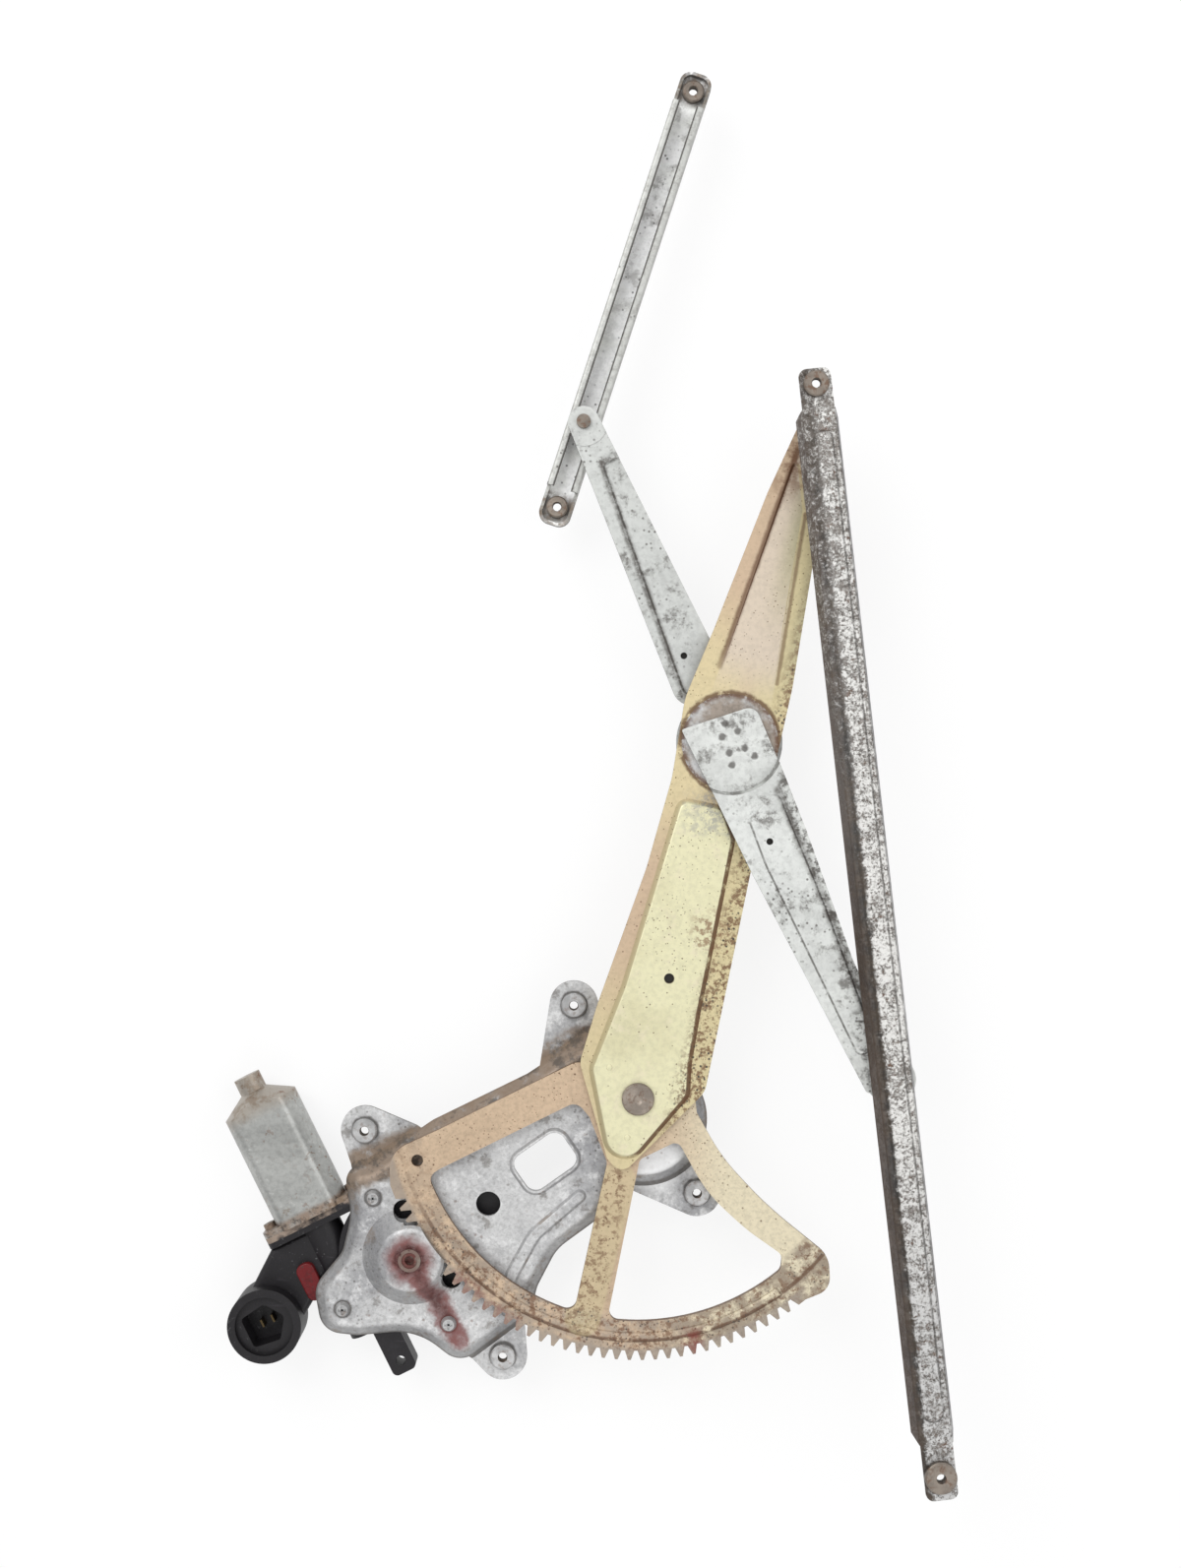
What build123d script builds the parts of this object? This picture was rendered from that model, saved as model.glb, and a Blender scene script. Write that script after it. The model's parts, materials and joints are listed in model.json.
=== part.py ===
from build123d import *
import math
import os

# Scissor window regulator with its electric drive, lying flat with the arm side up.
# It is laid out about the main pivot, and moved at the end so that the upper mounting nut is the origin.

# Sheets and walls
PLATE_T = 2.0
SECTOR_T = 3.0
ARM_T = 2.0
RAIL_T = 1.6
YOKE_T = 1.8
HOUSING_T = 3.0

# Clearances
RUN_FIT = 0.05
SEAT_FIT = 0.03
FACE_GAP = 0.5
LIP_GAP = 0.4
ROLLER_PLAY = 0.7
GEAR_GAP = 0.5

# Base plate, with each ear as its place, direction, distance to its root, and root width to the left and right
EAR_R = 12.5
EARS = (
    ((-140.3, -19.2), 123.0, 28.0, 20.0, 34.0),
    ((-32.6, 45.3), 98.0, 36.0, 24.0, 20.0),
    ((30.8, -51.2), -59.0, 26.0, 20.0, 34.0),
    ((-69.2, -135.5), -52.0, 23.0, 30.0, 15.0))
PAN_RISE = 8.0
SKIRT = 6.0
PRESS_ROUND = 0.6
PIVOT_DISC_R = 27.0
PIVOT_DISC_AT = (3.0, -13.0)
BEAD_H = 1.4
RIDGE_W = 4.0
HOOD_R = 25.0
HOOD_EDGE = 4.0
HOOD_CLEAR = 1.6
MOUTH_R = 5.0
MOUTH_TURN = 9.3
SHAFT_HOLE_R = 14.5
SPIGOT_HOLE_R = 6.25
LIGHTENING_HOLE = (30.0, 21.0)
LIGHTENING_TURN = 35.0
SPIGOT_AT = (-76.3, -55.4)
LIGHTENING_AT = (-47.2, -33.8)

# Weld nuts, M6 thread taken at its minor diameter
NUT_R = 6.4
NUT_H = 3.6
THREAD_R = 2.5
PILOT_R = 4.2
GLASS_NUT_R = 8.0
GUIDE_NUT_R = 5.6

# Main pivot
PIVOT_R = 6.0
PIVOT_HEAD_R = 8.2
PIVOT_HEAD_H = 2.0
DIMPLE_R = 2.6
DIMPLE_DEEP = 0.9
PIVOT_WASHER_R = 14.0
PIVOT_WASHER_T = 3.0

# Sector and pinion
MODULE = 2.1
SECTOR_TEETH = 126
PINION_TEETH = 9
PRESSURE = 20.0
SHIFT = 0.47
BACKLASH = 0.36
ROOT_CLEAR = 0.25
PINION_TIP_CUT = 0.54
PINION_ANGLE = 215.3
TEETH_START = 203.0
TEETH_END = 308.0
RIM_W = 15.0
RIM_BEAD_IN = 10.5
RIM_BEAD_R = 2.4
RIM_BEAD_H = 1.3
TIP_HOLE_R = 3.0
SHAFT_R = 5.0
JOURNAL_R = 4.0
BUSH_WALL = 1.7
CENTRE_DRILL_R = 2.4
CENTRE_DRILL_DEEP = 3.0

# Lift arm and equalizer arm
ARM_PRESS = 2.5
ARM_RECESS = 1.4
RAMP_FOOT = (55.0, 212.0)
RAMP_TIP = (81.5, 331.0)
FRONT_PRESS = 1.0
REAR_RECESS = 1.2
HUB_R = 24.5
HUB_STAND = 0.3
HUB_FLANGE = 2.5
STEP_R = 25.2
STEP_RUN = 1.6
ARM_TIP_R = 9.5
FRONT_TIP_R = 12.5
REAR_TIP_R = 8.0
REAR_PAD_R = 12.5
REAR_PAD_H = 0.3
SIGHT_DIMPLE_R = 1.7
ARM_DIMPLE_R = 2.6
DIMPLE_FLOOR = 0.5
SCISSOR = (46.7, 180.4)

# Studs and rollers
STUD_R = 5.0
STUD_NECK_R = 3.4
STUD_CAP_R = 4.6
STUD_CAP_H = 1.0
COLLAR_R = 7.0
GUIDE_HEAD_R = 3.6
GUIDE_HEAD_H = 1.8
ROLLER_R = 6.0
ROLLER_H = 6.0
GUIDE_ROLLER_H = 4.6
ROLLER_EDGE = 0.8

# Lift rail, measured from the lift stud along the rail
LIFT_STUD = (90.2, 335.6)
RAIL_TURN = -83.5
STUD_SPACING = 327.2
RAIL_HOLE_SPAN = 545.0
RAIL_TOP_NUT = -22.0
RAIL_OPEN_TOP = 12.0
RAIL_OPEN_BOTTOM = 16.0
RAIL_TAB_TOP = 8.0
RAIL_TAB_BOTTOM = 12.0
RAIL_TAB_HALF = 8.0
RAIL_FLARE = 2.8
RAIL_SLOT_HALF = 4.6
RAIL_CLIP = 9.0
RAIL_PANEL_W = 9.0
RAIL_PANEL_H = 1.3

# Guide channel, measured from the guide stud along the channel
GUIDE_STUD = (-27.5, 343.7)
GUIDE_TURN = 71.85
GUIDE_LOW_NUT = -44.0
GUIDE_HOLE_SPAN = 225.0
GUIDE_OPEN_END = 9.0
GUIDE_TAB_LEN = 9.5
GUIDE_TAB_CORNER = 6.0
GUIDE_CUP_H = 4.5
GUIDE_SLOT_HALF = 4.5

# Motor
FLANGE_AT = (-168.4, -64.4)
MOTOR_TURN = -63.7
MOTOR_Z = -9.0
YOKE_R = 19.75
YOKE_FLATS = 29.0
YOKE_LEN = 63.0
DOME_LEN = 8.0
NIPPLE_R = 7.0
NIPPLE_LEN = 8.5
YOKE_EDGE = 5.0
FLANGE_H = 24.0
FLANGE_T = 3.0
BRUSH_PLATE_T = 3.0
FLANGE_SCREW_EDGE = 3.5
FLANGE_SCREW_R = 2.0
FLANGE_SCREW_HEAD_R = 3.2
FLANGE_SCREW_HEAD_H = 2.6
MAGNET_T = 4.6
MAGNET_LEN = 36.0
MAGNET_SPAN = 84.0
CORE_R = 12.2
CORE_LEN = 30.0
CORE_AT = -32.0
CORE_SLOTS = 8
CORE_SLOT_W = 2.6
CORE_SLOT_DEEP = 5.0
COMMUTATOR_R = 6.5
COMMUTATOR_LEN = 9.0
COMMUTATOR_AT = -8.0
BRUSH = (6.0, 7.0, 4.5)
ARMATURE_R = 3.0
WORM_R = 5.6
WORM_LEN = 30.0
BEARING_WALL = 2.1
BEARING_LEN = 6.0

# Gear housing and connector
DRUM_WALL = 4.1
DRUM_TOP = 3.0
WHEEL_T = 10.0
WHEEL_TEETH = 60
WHEEL_TOOTH_H = 1.8
TUNNEL_R = 11.0
TUNNEL_END = 67.0
BOSS_R = 5.4
SCREW_R = 2.5
SCREW_HEAD_R = 4.0
SCREW_HEAD_H = 2.4
SCREW_LEN = 9.0
MOTOR_SCREWS = ((-135.2, -52.4), (-150.8, -109.3), (-96.5, -116.8))
TIP_ARM_AT = (86.5, 9.2)
TIP_ARM = (45.0, 13.0, 3.0)
TIP_ARM_HOLE_R = 2.5
POD_AT = (-191.2, -118.7)
POD_R = 19.0
POD_WALL = 4.0
POD_TOP = 9.0
POD_DEEP = 23.0
POD_RIM_DEEP = 3.0
NECK_TOP = 0.0
NECK_EDGE = 3.0
SOCKET_DEEP = 16.0
TERMINAL = (1.0, 4.0, 6.0)
TERMINAL_PITCH = 6.0
LOCK_TAB = (20.0, 9.5, 3.5)
LOCK_TAB_AT = (29.6, -14.5)
LOCK_TAB_END = 4.0

# Heights of the stack, from the mounting faces of the ears up
pan_top = PAN_RISE + PLATE_T
sector_low = pan_top + PIVOT_WASHER_T
arm_low = sector_low + SECTOR_T
arm_top = arm_low + ARM_T
panel_top = arm_top + ARM_PRESS
head_top = panel_top + PIVOT_HEAD_H
front_low = head_top + FACE_GAP
front_top = front_low + ARM_T
rear_top = arm_low - ARM_RECESS - LIP_GAP
rear_low = rear_top - ARM_T
hub_top = arm_top + HUB_STAND
hood_top = arm_low + HOOD_CLEAR + PLATE_T
lip_low = front_top + FRONT_PRESS + FACE_GAP
roller_low = lip_low + RAIL_T + FACE_GAP
cap_top = roller_low + ROLLER_H + STUD_CAP_H + RUN_FIT
rail_back = cap_top + LIP_GAP + RAIL_T
guide_lip = rear_low - REAR_RECESS - FACE_GAP
wheel_top = MOTOR_Z + WHEEL_T / 2
wheel_low = MOTOR_Z - WHEEL_T / 2
cover_top = wheel_low - FACE_GAP
cover_low = cover_top - HOUSING_T

# Gear radii
sector_pitch = MODULE * SECTOR_TEETH / 2
pinion_pitch = MODULE * PINION_TEETH / 2
sector_tip = sector_pitch + MODULE * (1 - SHIFT)
sector_root = sector_pitch - MODULE * (1 + ROOT_CLEAR + SHIFT)
pinion_tip = pinion_pitch + MODULE * (1 + SHIFT) - PINION_TIP_CUT
pinion_root = pinion_pitch - MODULE * (1 + ROOT_CLEAR - SHIFT)
rim_inner = sector_root - RIM_W
bush_r = JOURNAL_R + RUN_FIT + BUSH_WALL

# Flange of the motor, with its screws beside the can
flange_screw_out = YOKE_R + FLANGE_SCREW_HEAD_R + FACE_GAP
flange_w = 2 * (flange_screw_out + FLANGE_SCREW_EDGE)


def polar(radius, degrees, centre=(0, 0)):
    """A plan point at a distance and direction from a centre."""
    turn = math.radians(degrees)
    return (centre[0] + radius * math.cos(turn), centre[1] + radius * math.sin(turn))


def plan_frame(centre, turn, height=0.0):
    """Plane on a plan point, its x axis turned from +X."""
    return Plane(origin=(*centre, height), x_dir=(*polar(1, turn), 0), z_dir=(0, 0, 1))


PIVOT = (0.0, 0.0)
PINION = polar(sector_pitch + pinion_pitch, PINION_ANGLE)
rail_frame = plan_frame(LIFT_STUD, RAIL_TURN)
guide_frame = plan_frame(GUIDE_STUD, GUIDE_TURN)
motor_frame = plan_frame(FLANGE_AT, MOTOR_TURN, MOTOR_Z)
motor_plan = plan_frame(FLANGE_AT, MOTOR_TURN)
EQUALIZER_STUD = polar(STUD_SPACING, RAIL_TURN, LIFT_STUD)
rail_nut_x = (RAIL_TOP_NUT, RAIL_TOP_NUT + RAIL_HOLE_SPAN)
guide_nut_x = (GUIDE_LOW_NUT, GUIDE_LOW_NUT + GUIDE_HOLE_SPAN)
pinion_in_motor = motor_plan.to_local_coords(Vector(*PINION, 0))
worm_distance = abs(pinion_in_motor.Y)
wheel_tip = worm_distance - WORM_R - GEAR_GAP
drum_r = wheel_tip + FACE_GAP + DRUM_WALL


def outline(points, radii):
    """Closed plan outline, rounded at each corner."""
    return make_face(FilletPolyline(*points, radius=radii, close=True))


def slab(plan, low, high):
    """A plan shape raised from one height to another."""
    return extrude(Pos(0, 0, low) * plan, amount=high - low)


def disc(centre, radius, low, high):
    """An upright cylinder."""
    return slab(Pos(*centre) * Circle(radius), low, high)


def swell(plan, height):
    """A form that rises from z = 0 with sides at 45 degrees to the given top outline, and a rounded upper edge."""
    form = extrude(offset(plan, height), amount=height, taper=45)
    return fillet(form.edges().group_by(Axis.Z)[-1], PRESS_ROUND * height)


def press_up(sheet, plan, face, height, thick):
    """Press a panel out of the upper face of a sheet."""
    form = Pos(0, 0, face) * swell(plan, height)
    return sheet + form - Pos(0, 0, -thick) * form


def press_down(sheet, plan, face, height, thick):
    """Press a panel into the upper face of a sheet."""
    form = Pos(0, 0, face) * mirror(swell(plan, height), about=Plane.XY)
    return sheet + Pos(0, 0, -thick) * form - form


def press_ramp(sheet, plan, face, height, thick):
    """Press the lift arm's panel down, from nothing at its foot to the full height at its tip."""
    run = math.dist(RAMP_FOOT, RAMP_TIP)
    way = math.degrees(math.atan2(RAMP_TIP[1] - RAMP_FOOT[1], RAMP_TIP[0] - RAMP_FOOT[0]))
    tilt = Rot(0, 0, way) * Rot(0, math.degrees(math.atan2(height, run)), 0) * Rot(0, 0, -way)
    deep = 1.5 * height
    form = mirror(extrude(offset(plan, deep), amount=deep, taper=45), about=Plane.XY)
    form = Pos(*RAMP_FOOT, face) * tilt * Pos(-RAMP_FOOT[0], -RAMP_FOOT[1], deep) * form
    below = Pos(0, 0, -thick) * form & slab(lift_arm_plan(), face - thick - 2 * height, face)
    return sheet + below - form


def pan_plan():
    """Top outline of the pan: the drive's panel joined to the disc round the pivot."""
    drive = outline(
        [(-144.5, -41), (-141, -62), (-146, -84), (-160, -101), (-157, -117), (-144, -118.5), (-112, -115.5),
         (-91, -131.8), (-60, -108.7), (-57, -97), (-46, -76), (-20, -57), (10, -20), (10, 10), (-20, 27),
         (-53.5, 5), (-102, -18.7), (-138, -43)],
        [3, 40, 20, 8, 6, 10, 40, 6, 8, 20, 30, 20, 2, 2, 8, 10, 10, 3])
    return drive + Pos(*PIVOT_DISC_AT) * Circle(PIVOT_DISC_R)


def ear_plan(centre, turn, root, left, right):
    """Outline of an ear: a round end that widens to its root under the pan."""
    base = Line((-root, -right), (-root, left))
    return plan_frame(centre, turn) * make_hull(Circle(EAR_R).edges() + base.edges())


def hood():
    """Raised cover of the pinion, open where the teeth of the sector pass under it."""
    rise = hood_top - pan_top
    form = Cone(HOOD_R, HOOD_R - rise, rise)
    form = Pos(*PINION, pan_top + rise / 2) * fillet(form.edges().group_by(Axis.Z)[-1], HOOD_EDGE)
    shell = form - Pos(0, 0, -PLATE_T) * form
    sweep = disc(PIVOT, sector_tip + HOOD_CLEAR, pan_top, hood_top - PLATE_T)
    edge = disc(PIVOT, sector_root - GEAR_GAP, pan_top, hood_top)
    return shell - sweep - edge - disc(PINION, bush_r + SEAT_FIT, pan_top, hood_top)


def base_plate():
    """Pressed plate: pan with a sloping skirt, four ears at the foot of longer slopes, hood, beads and holes."""
    form = swell(pan_plan(), pan_top)
    hollow = Pos(0, 0, -PLATE_T) * form
    plans = [ear_plan(*place) for place in EARS]
    kept = disc(PIVOT, 2 * sector_tip, pan_top - SKIRT, pan_top)
    for plan in plans:
        kept += slab(plan, 0, pan_top)
    plate = (form - hollow) & kept
    for plan in plans:
        plate += slab(plan, 0, PLATE_T) - hollow
    path = [(-65, -113), (-63, -94), (-51, -72.5), (-26, -51)]
    back = [(x - RIDGE_W, y + RIDGE_W / 2) for x, y in reversed(path)]
    ridge = outline(path + back, [RIDGE_W / 2, 20, 20, RIDGE_W / 2, RIDGE_W / 2, 20, 20, RIDGE_W / 2])
    plate += Pos(0, 0, pan_top) * swell(ridge, BEAD_H)
    rim = Pos(*LIGHTENING_AT) * Rot(0, 0, LIGHTENING_TURN) * RectangleRounded(*LIGHTENING_HOLE, 6.0)
    plate += Pos(0, 0, pan_top) * swell(offset(rim, PLATE_T / 2), BEAD_H)
    plate += hood()
    cuts = [slab(rim, PAN_RISE, pan_top + BEAD_H), disc(SPIGOT_AT, SPIGOT_HOLE_R, PAN_RISE, pan_top)]
    cuts.append(disc(PINION, SHAFT_HOLE_R, PAN_RISE, pan_top))
    cuts.append(disc(PIVOT, PIVOT_R + SEAT_FIT, PAN_RISE, pan_top))
    for side in (-1, 1):
        mouth = polar(sector_tip, PINION_ANGLE + side * MOUTH_TURN)
        cuts.append(disc(mouth, MOUTH_R, PAN_RISE, hood_top - PLATE_T))
    for place in MOTOR_SCREWS:
        cuts.append(disc(place, SCREW_R + RUN_FIT, PAN_RISE, pan_top))
    for place in EARS:
        cuts.append(disc(place[0], PILOT_R + SEAT_FIT, 0, PLATE_T))
    for cut in cuts:
        plate -= cut
    return plate


def weld_nut(radius, seat, sheet):
    """Round projection nut on a sheet, its pilot through the sheet."""
    nut = Pos(0, 0, seat + NUT_H / 2) * Cylinder(radius, NUT_H)
    nut = chamfer(nut.edges().group_by(Axis.Z)[-1], NUT_H / 5)
    pilot = Pos(0, 0, seat - sheet / 2) * Cylinder(PILOT_R, sheet)
    return nut + pilot - slab(Circle(THREAD_R), seat - sheet, seat + NUT_H)


def mounting_nuts():
    nut = weld_nut(NUT_R, PLATE_T, PLATE_T)
    return [Pos(*place[0]) * nut for place in EARS]


def pivot_stud():
    """Headed pivot, riveted flush under the pan."""
    stud = disc(PIVOT, PIVOT_R, PAN_RISE, panel_top)
    head = Pos(0, 0, panel_top + PIVOT_HEAD_H / 2) * Cylinder(PIVOT_HEAD_R, PIVOT_HEAD_H)
    head = chamfer(head.edges().group_by(Axis.Z)[-1], PIVOT_HEAD_H / 3)
    ball = (DIMPLE_R**2 + DIMPLE_DEEP**2) / (2 * DIMPLE_DEEP)
    return stud + head - Pos(0, 0, head_top - DIMPLE_DEEP + ball) * Sphere(ball)


def pivot_washer():
    return disc(PIVOT, PIVOT_WASHER_R, pan_top, sector_low) - disc(PIVOT, PIVOT_R + SEAT_FIT, pan_top, sector_low)


def tooth_gap():
    """Space between two sector teeth, on the x axis."""
    half = (MODULE * (math.pi / 2 + 2 * SHIFT * math.tan(math.radians(PRESSURE))) + BACKLASH) / 2
    lean = math.tan(math.radians(PRESSURE) + half / sector_pitch)
    reach = sector_tip + ROOT_CLEAR * MODULE
    low = half - (sector_pitch - sector_root) * lean
    high = half + (reach - sector_pitch) * lean
    return Polygon((sector_root, -low), (reach, -high), (reach, high), (sector_root, low), align=None)


def sector_plan():
    """Toothed sector: left nose, rim with teeth, stop lobe, spokes and hub."""
    far = 2 * sector_tip
    blank = outline(
        [(-31.5, 18), (-101.5, -16.5), (-126.5, -28), (-125.3, -54), polar(far, TEETH_START), (0, -far * 1.2),
         polar(far, TEETH_END + 1), (75, -70), (42, -33), (30, -8), (28, 12)],
        [8, 20, 14, 1, 1, 1, 1, 1, 60, 6, 8])
    nose = outline(
        [(24, -12), (29, -6), (43, -31), (66, -55.5), (97, -80.5), (98, -97.5),
         polar(sector_tip - GEAR_GAP, TEETH_END + 1), polar(rim_inner, TEETH_END - 6)],
        [1, 1, 100, 200, 13, 9, 1, 1])
    plan = (blank & Circle(sector_tip)) + nose
    pitch = 360 / SECTOR_TEETH
    first = math.ceil((TEETH_START - PINION_ANGLE) / pitch)
    last = math.floor((TEETH_END - PINION_ANGLE) / pitch)
    gap = tooth_gap()
    plan -= [Rot(0, 0, PINION_ANGLE + step * pitch) * gap for step in range(first, last + 1)]
    left = outline(
        [(-101, -36.5), (-31, -2), (-24.5, -10), (-15.5, -33), (-37, -130), (-120, -100), (-112, -44)],
        [5, 6, 4, 6, 1, 1, 4]) & Circle(rim_inner)
    right = outline(
        [(1, -31.5), (20.5, -22), (35, -48.5), (55, -67), (73.5, -80), (66, -140), (-21, -140)],
        [4, 4, 80, 100, 5, 1, 1]) & Circle(rim_inner)
    return plan - fillet(left.vertices().filter_by(at_rim), 5) - fillet(right.vertices().filter_by(at_rim), 5)


def at_rim(corner):
    """True for a window corner on the inner edge of the rim."""
    return abs(math.hypot(corner.X, corner.Y) - rim_inner) < 0.01


def sector_gear():
    gear = slab(sector_plan(), sector_low, arm_low)
    bead = Pos(rim_inner + RIM_BEAD_IN - RIM_BEAD_R, arm_low) * Ellipse(RIM_BEAD_R, RIM_BEAD_H)
    ring = revolve(Plane.XZ * bead, axis=Axis.Z, revolution_arc=TEETH_END - PINION_ANGLE - 12)
    gear += Rot(0, 0, PINION_ANGLE + 10) * ring
    gear -= disc((-112, -32), TIP_HOLE_R, sector_low, arm_low)
    return gear - disc(PIVOT, PIVOT_R + RUN_FIT, sector_low, arm_low)


def involute(angle):
    return math.tan(angle) - angle


def pinion_plan():
    """Involute pinion, shifted outwards so that its few teeth aren't undercut."""
    base = pinion_pitch * math.cos(math.radians(PRESSURE))
    thick = MODULE * (math.pi / 2 + 2 * SHIFT * math.tan(math.radians(PRESSURE)))
    at_base = thick / 2 / pinion_pitch + involute(math.radians(PRESSURE))
    steps = 6
    radii = [base + (pinion_tip - base) * step / steps for step in range(steps + 1)]
    flank = [(radius, at_base - involute(math.acos(base / radius))) for radius in radii]
    flank.insert(0, (pinion_root * 0.8, at_base))
    upper = [polar(radius, math.degrees(turn)) for radius, turn in flank]
    lower = [(x, -y) for x, y in upper]
    tooth = Polygon(*lower, *reversed(upper), align=None)
    teeth = [Rot(0, 0, PINION_ANGLE + 180 + 360 * step / PINION_TEETH) * tooth for step in range(PINION_TEETH)]
    return Circle(pinion_root) + teeth


def drive_pinion():
    """Output shaft with the pinion at its upper end."""
    low = sector_low - FACE_GAP
    high = hood_top - PLATE_T - FACE_GAP
    shaft = slab(Circle(SHAFT_R), wheel_low, low) + slab(pinion_plan(), low, high)
    shaft += slab(Circle(JOURNAL_R), high, hood_top)
    shaft -= slab(Circle(CENTRE_DRILL_R), hood_top - CENTRE_DRILL_DEEP, hood_top)
    return Pos(*PINION) * shaft


def pinion_bush():
    """Bush in the hood that steadies the upper end of the pinion."""
    low = hood_top - PLATE_T
    return disc(PINION, bush_r, low, hood_top + FACE_GAP) - disc(PINION, JOURNAL_R + RUN_FIT, low, hood_top + FACE_GAP)


def worm_wheel():
    """Worm wheel, pressed on the lower end of the output shaft."""
    rim = Circle(wheel_tip)
    notch = Pos(wheel_tip, 0) * Rectangle(2 * WHEEL_TOOTH_H, math.pi * wheel_tip / WHEEL_TEETH)
    rim -= [Rot(0, 0, 360 * step / WHEEL_TEETH) * notch for step in range(WHEEL_TEETH)]
    wheel = slab(rim - Circle(SHAFT_R + SEAT_FIT), wheel_low, wheel_top)
    web = slab(Circle(wheel_tip - 3 * WHEEL_TOOTH_H) - Circle(2 * SHAFT_R), wheel_top - WHEEL_T / 4, wheel_top)
    return Pos(*PINION) * (wheel - web)


def lift_arm_plan():
    body = outline(
        [(81, 340), (65.8, 307), (38.4, 237.3), (24, 203), (17.4, 162.5), (4.5, 117), (-20.5, 47.5), (-29.5, 18),
         (-15.5, -31), (-8, -38.5), (34, 3), (57.3, 115), (78.3, 207.4), (88.2, 267.3), (99.7, 335.6)],
        [2, 40, 60, 40, 60, 80, 60, 10, 6, 6, 12, 200, 80, 60, 2])
    return body + Pos(*LIFT_STUD) * Circle(ARM_TIP_R)


def lift_arm():
    """Main arm: raised lower panel over the sector, sunk upper panel, round seat for the scissor hub."""
    arm = slab(lift_arm_plan(), arm_low, arm_top)
    lower = outline(
        [(22.5, 150), (42, 146), (47, 131), (29.3, 43.5), (24.8, 17), (24, 2), (-11.7, -39.6), (-22.5, 15), (-6, 56.5)],
        [4, 4, 6, 40, 20, 5, 9.3, 6, 30])
    arm = press_up(arm, lower, arm_top, ARM_PRESS, ARM_T)
    upper = outline([(81.5, 331), (40.5, 217), (45, 210), (70, 208), (77, 252), (85, 298)], [2.6, 4, 4, 4, 40, 4])
    arm = press_ramp(arm, offset(upper, -ARM_RECESS), arm_top, ARM_RECESS, ARM_T)
    arm -= disc(SCISSOR, HUB_R + RUN_FIT, arm_low, arm_top)
    arm -= disc(PIVOT, PIVOT_R + RUN_FIT, arm_low, panel_top)
    arm -= disc((15.8, 60.9), ARM_DIMPLE_R, panel_top - ARM_T + DIMPLE_FLOOR, panel_top)
    return arm - disc(LIFT_STUD, STUD_R + SEAT_FIT, arm_low, arm_top)


def rail_stud(low, seat):
    """Stud riveted flush in an arm, with a collar below the rail and a cap over its roller."""
    stud = slab(Circle(STUD_R), low, seat) + slab(Circle(COLLAR_R), seat, lip_low - FACE_GAP / 2)
    stud += slab(Circle(STUD_NECK_R), lip_low - FACE_GAP / 2, cap_top - STUD_CAP_H)
    return stud + slab(Circle(STUD_CAP_R), cap_top - STUD_CAP_H, cap_top)


def guide_stud():
    """Headed stud through the rear half, carrying the guide roller below it."""
    roller_top = guide_lip - RAIL_T - FACE_GAP
    roller_base = roller_top - GUIDE_ROLLER_H - RUN_FIT
    seat = rear_top + REAR_PAD_H
    stud = slab(Circle(GUIDE_HEAD_R), seat, seat + GUIDE_HEAD_H) + slab(Circle(STUD_NECK_R), roller_base, seat)
    return Pos(*GUIDE_STUD) * (stud + slab(Circle(STUD_CAP_R), roller_base - STUD_CAP_H, roller_base))


def roller(low, height):
    """Moulded roller with rounded rims."""
    wheel = Pos(0, 0, low + height / 2) * Cylinder(ROLLER_R, height)
    wheel = fillet(wheel.edges(), ROLLER_EDGE)
    return wheel - slab(Circle(STUD_NECK_R + RUN_FIT), low, low + height)


def rear_half():
    """Upper half of the equalizer arm, behind the lift arm."""
    body = outline([(-35, 341), (20.5, 200), (60, 196), (39, 229), (-20, 346.5)], [2, 10, 2, 30, 2])
    plan = body + Pos(*GUIDE_STUD) * Circle(REAR_TIP_R) + Pos(*SCISSOR) * Circle(HUB_R + HUB_FLANGE)
    arm = slab(plan, rear_low, rear_top)
    panel = outline([(-18.4, 322), (23.7, 204), (68, 220), (10, 334)], [3, 3, 3, 3])
    arm = press_down(arm, offset(panel, -REAR_RECESS), rear_top, REAR_RECESS, ARM_T)
    arm &= slab(plan, rear_low - REAR_RECESS, rear_top)
    pad = plan & (Pos(*GUIDE_STUD) * Circle(REAR_PAD_R))
    arm += slab(pad, rear_top, rear_top + REAR_PAD_H)
    arm -= disc((23.6, 224.6), SIGHT_DIMPLE_R, rear_low - REAR_RECESS + DIMPLE_FLOOR, rear_top)
    return arm - disc(GUIDE_STUD, STUD_NECK_R + SEAT_FIT, rear_low, rear_top + REAR_PAD_H)


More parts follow.
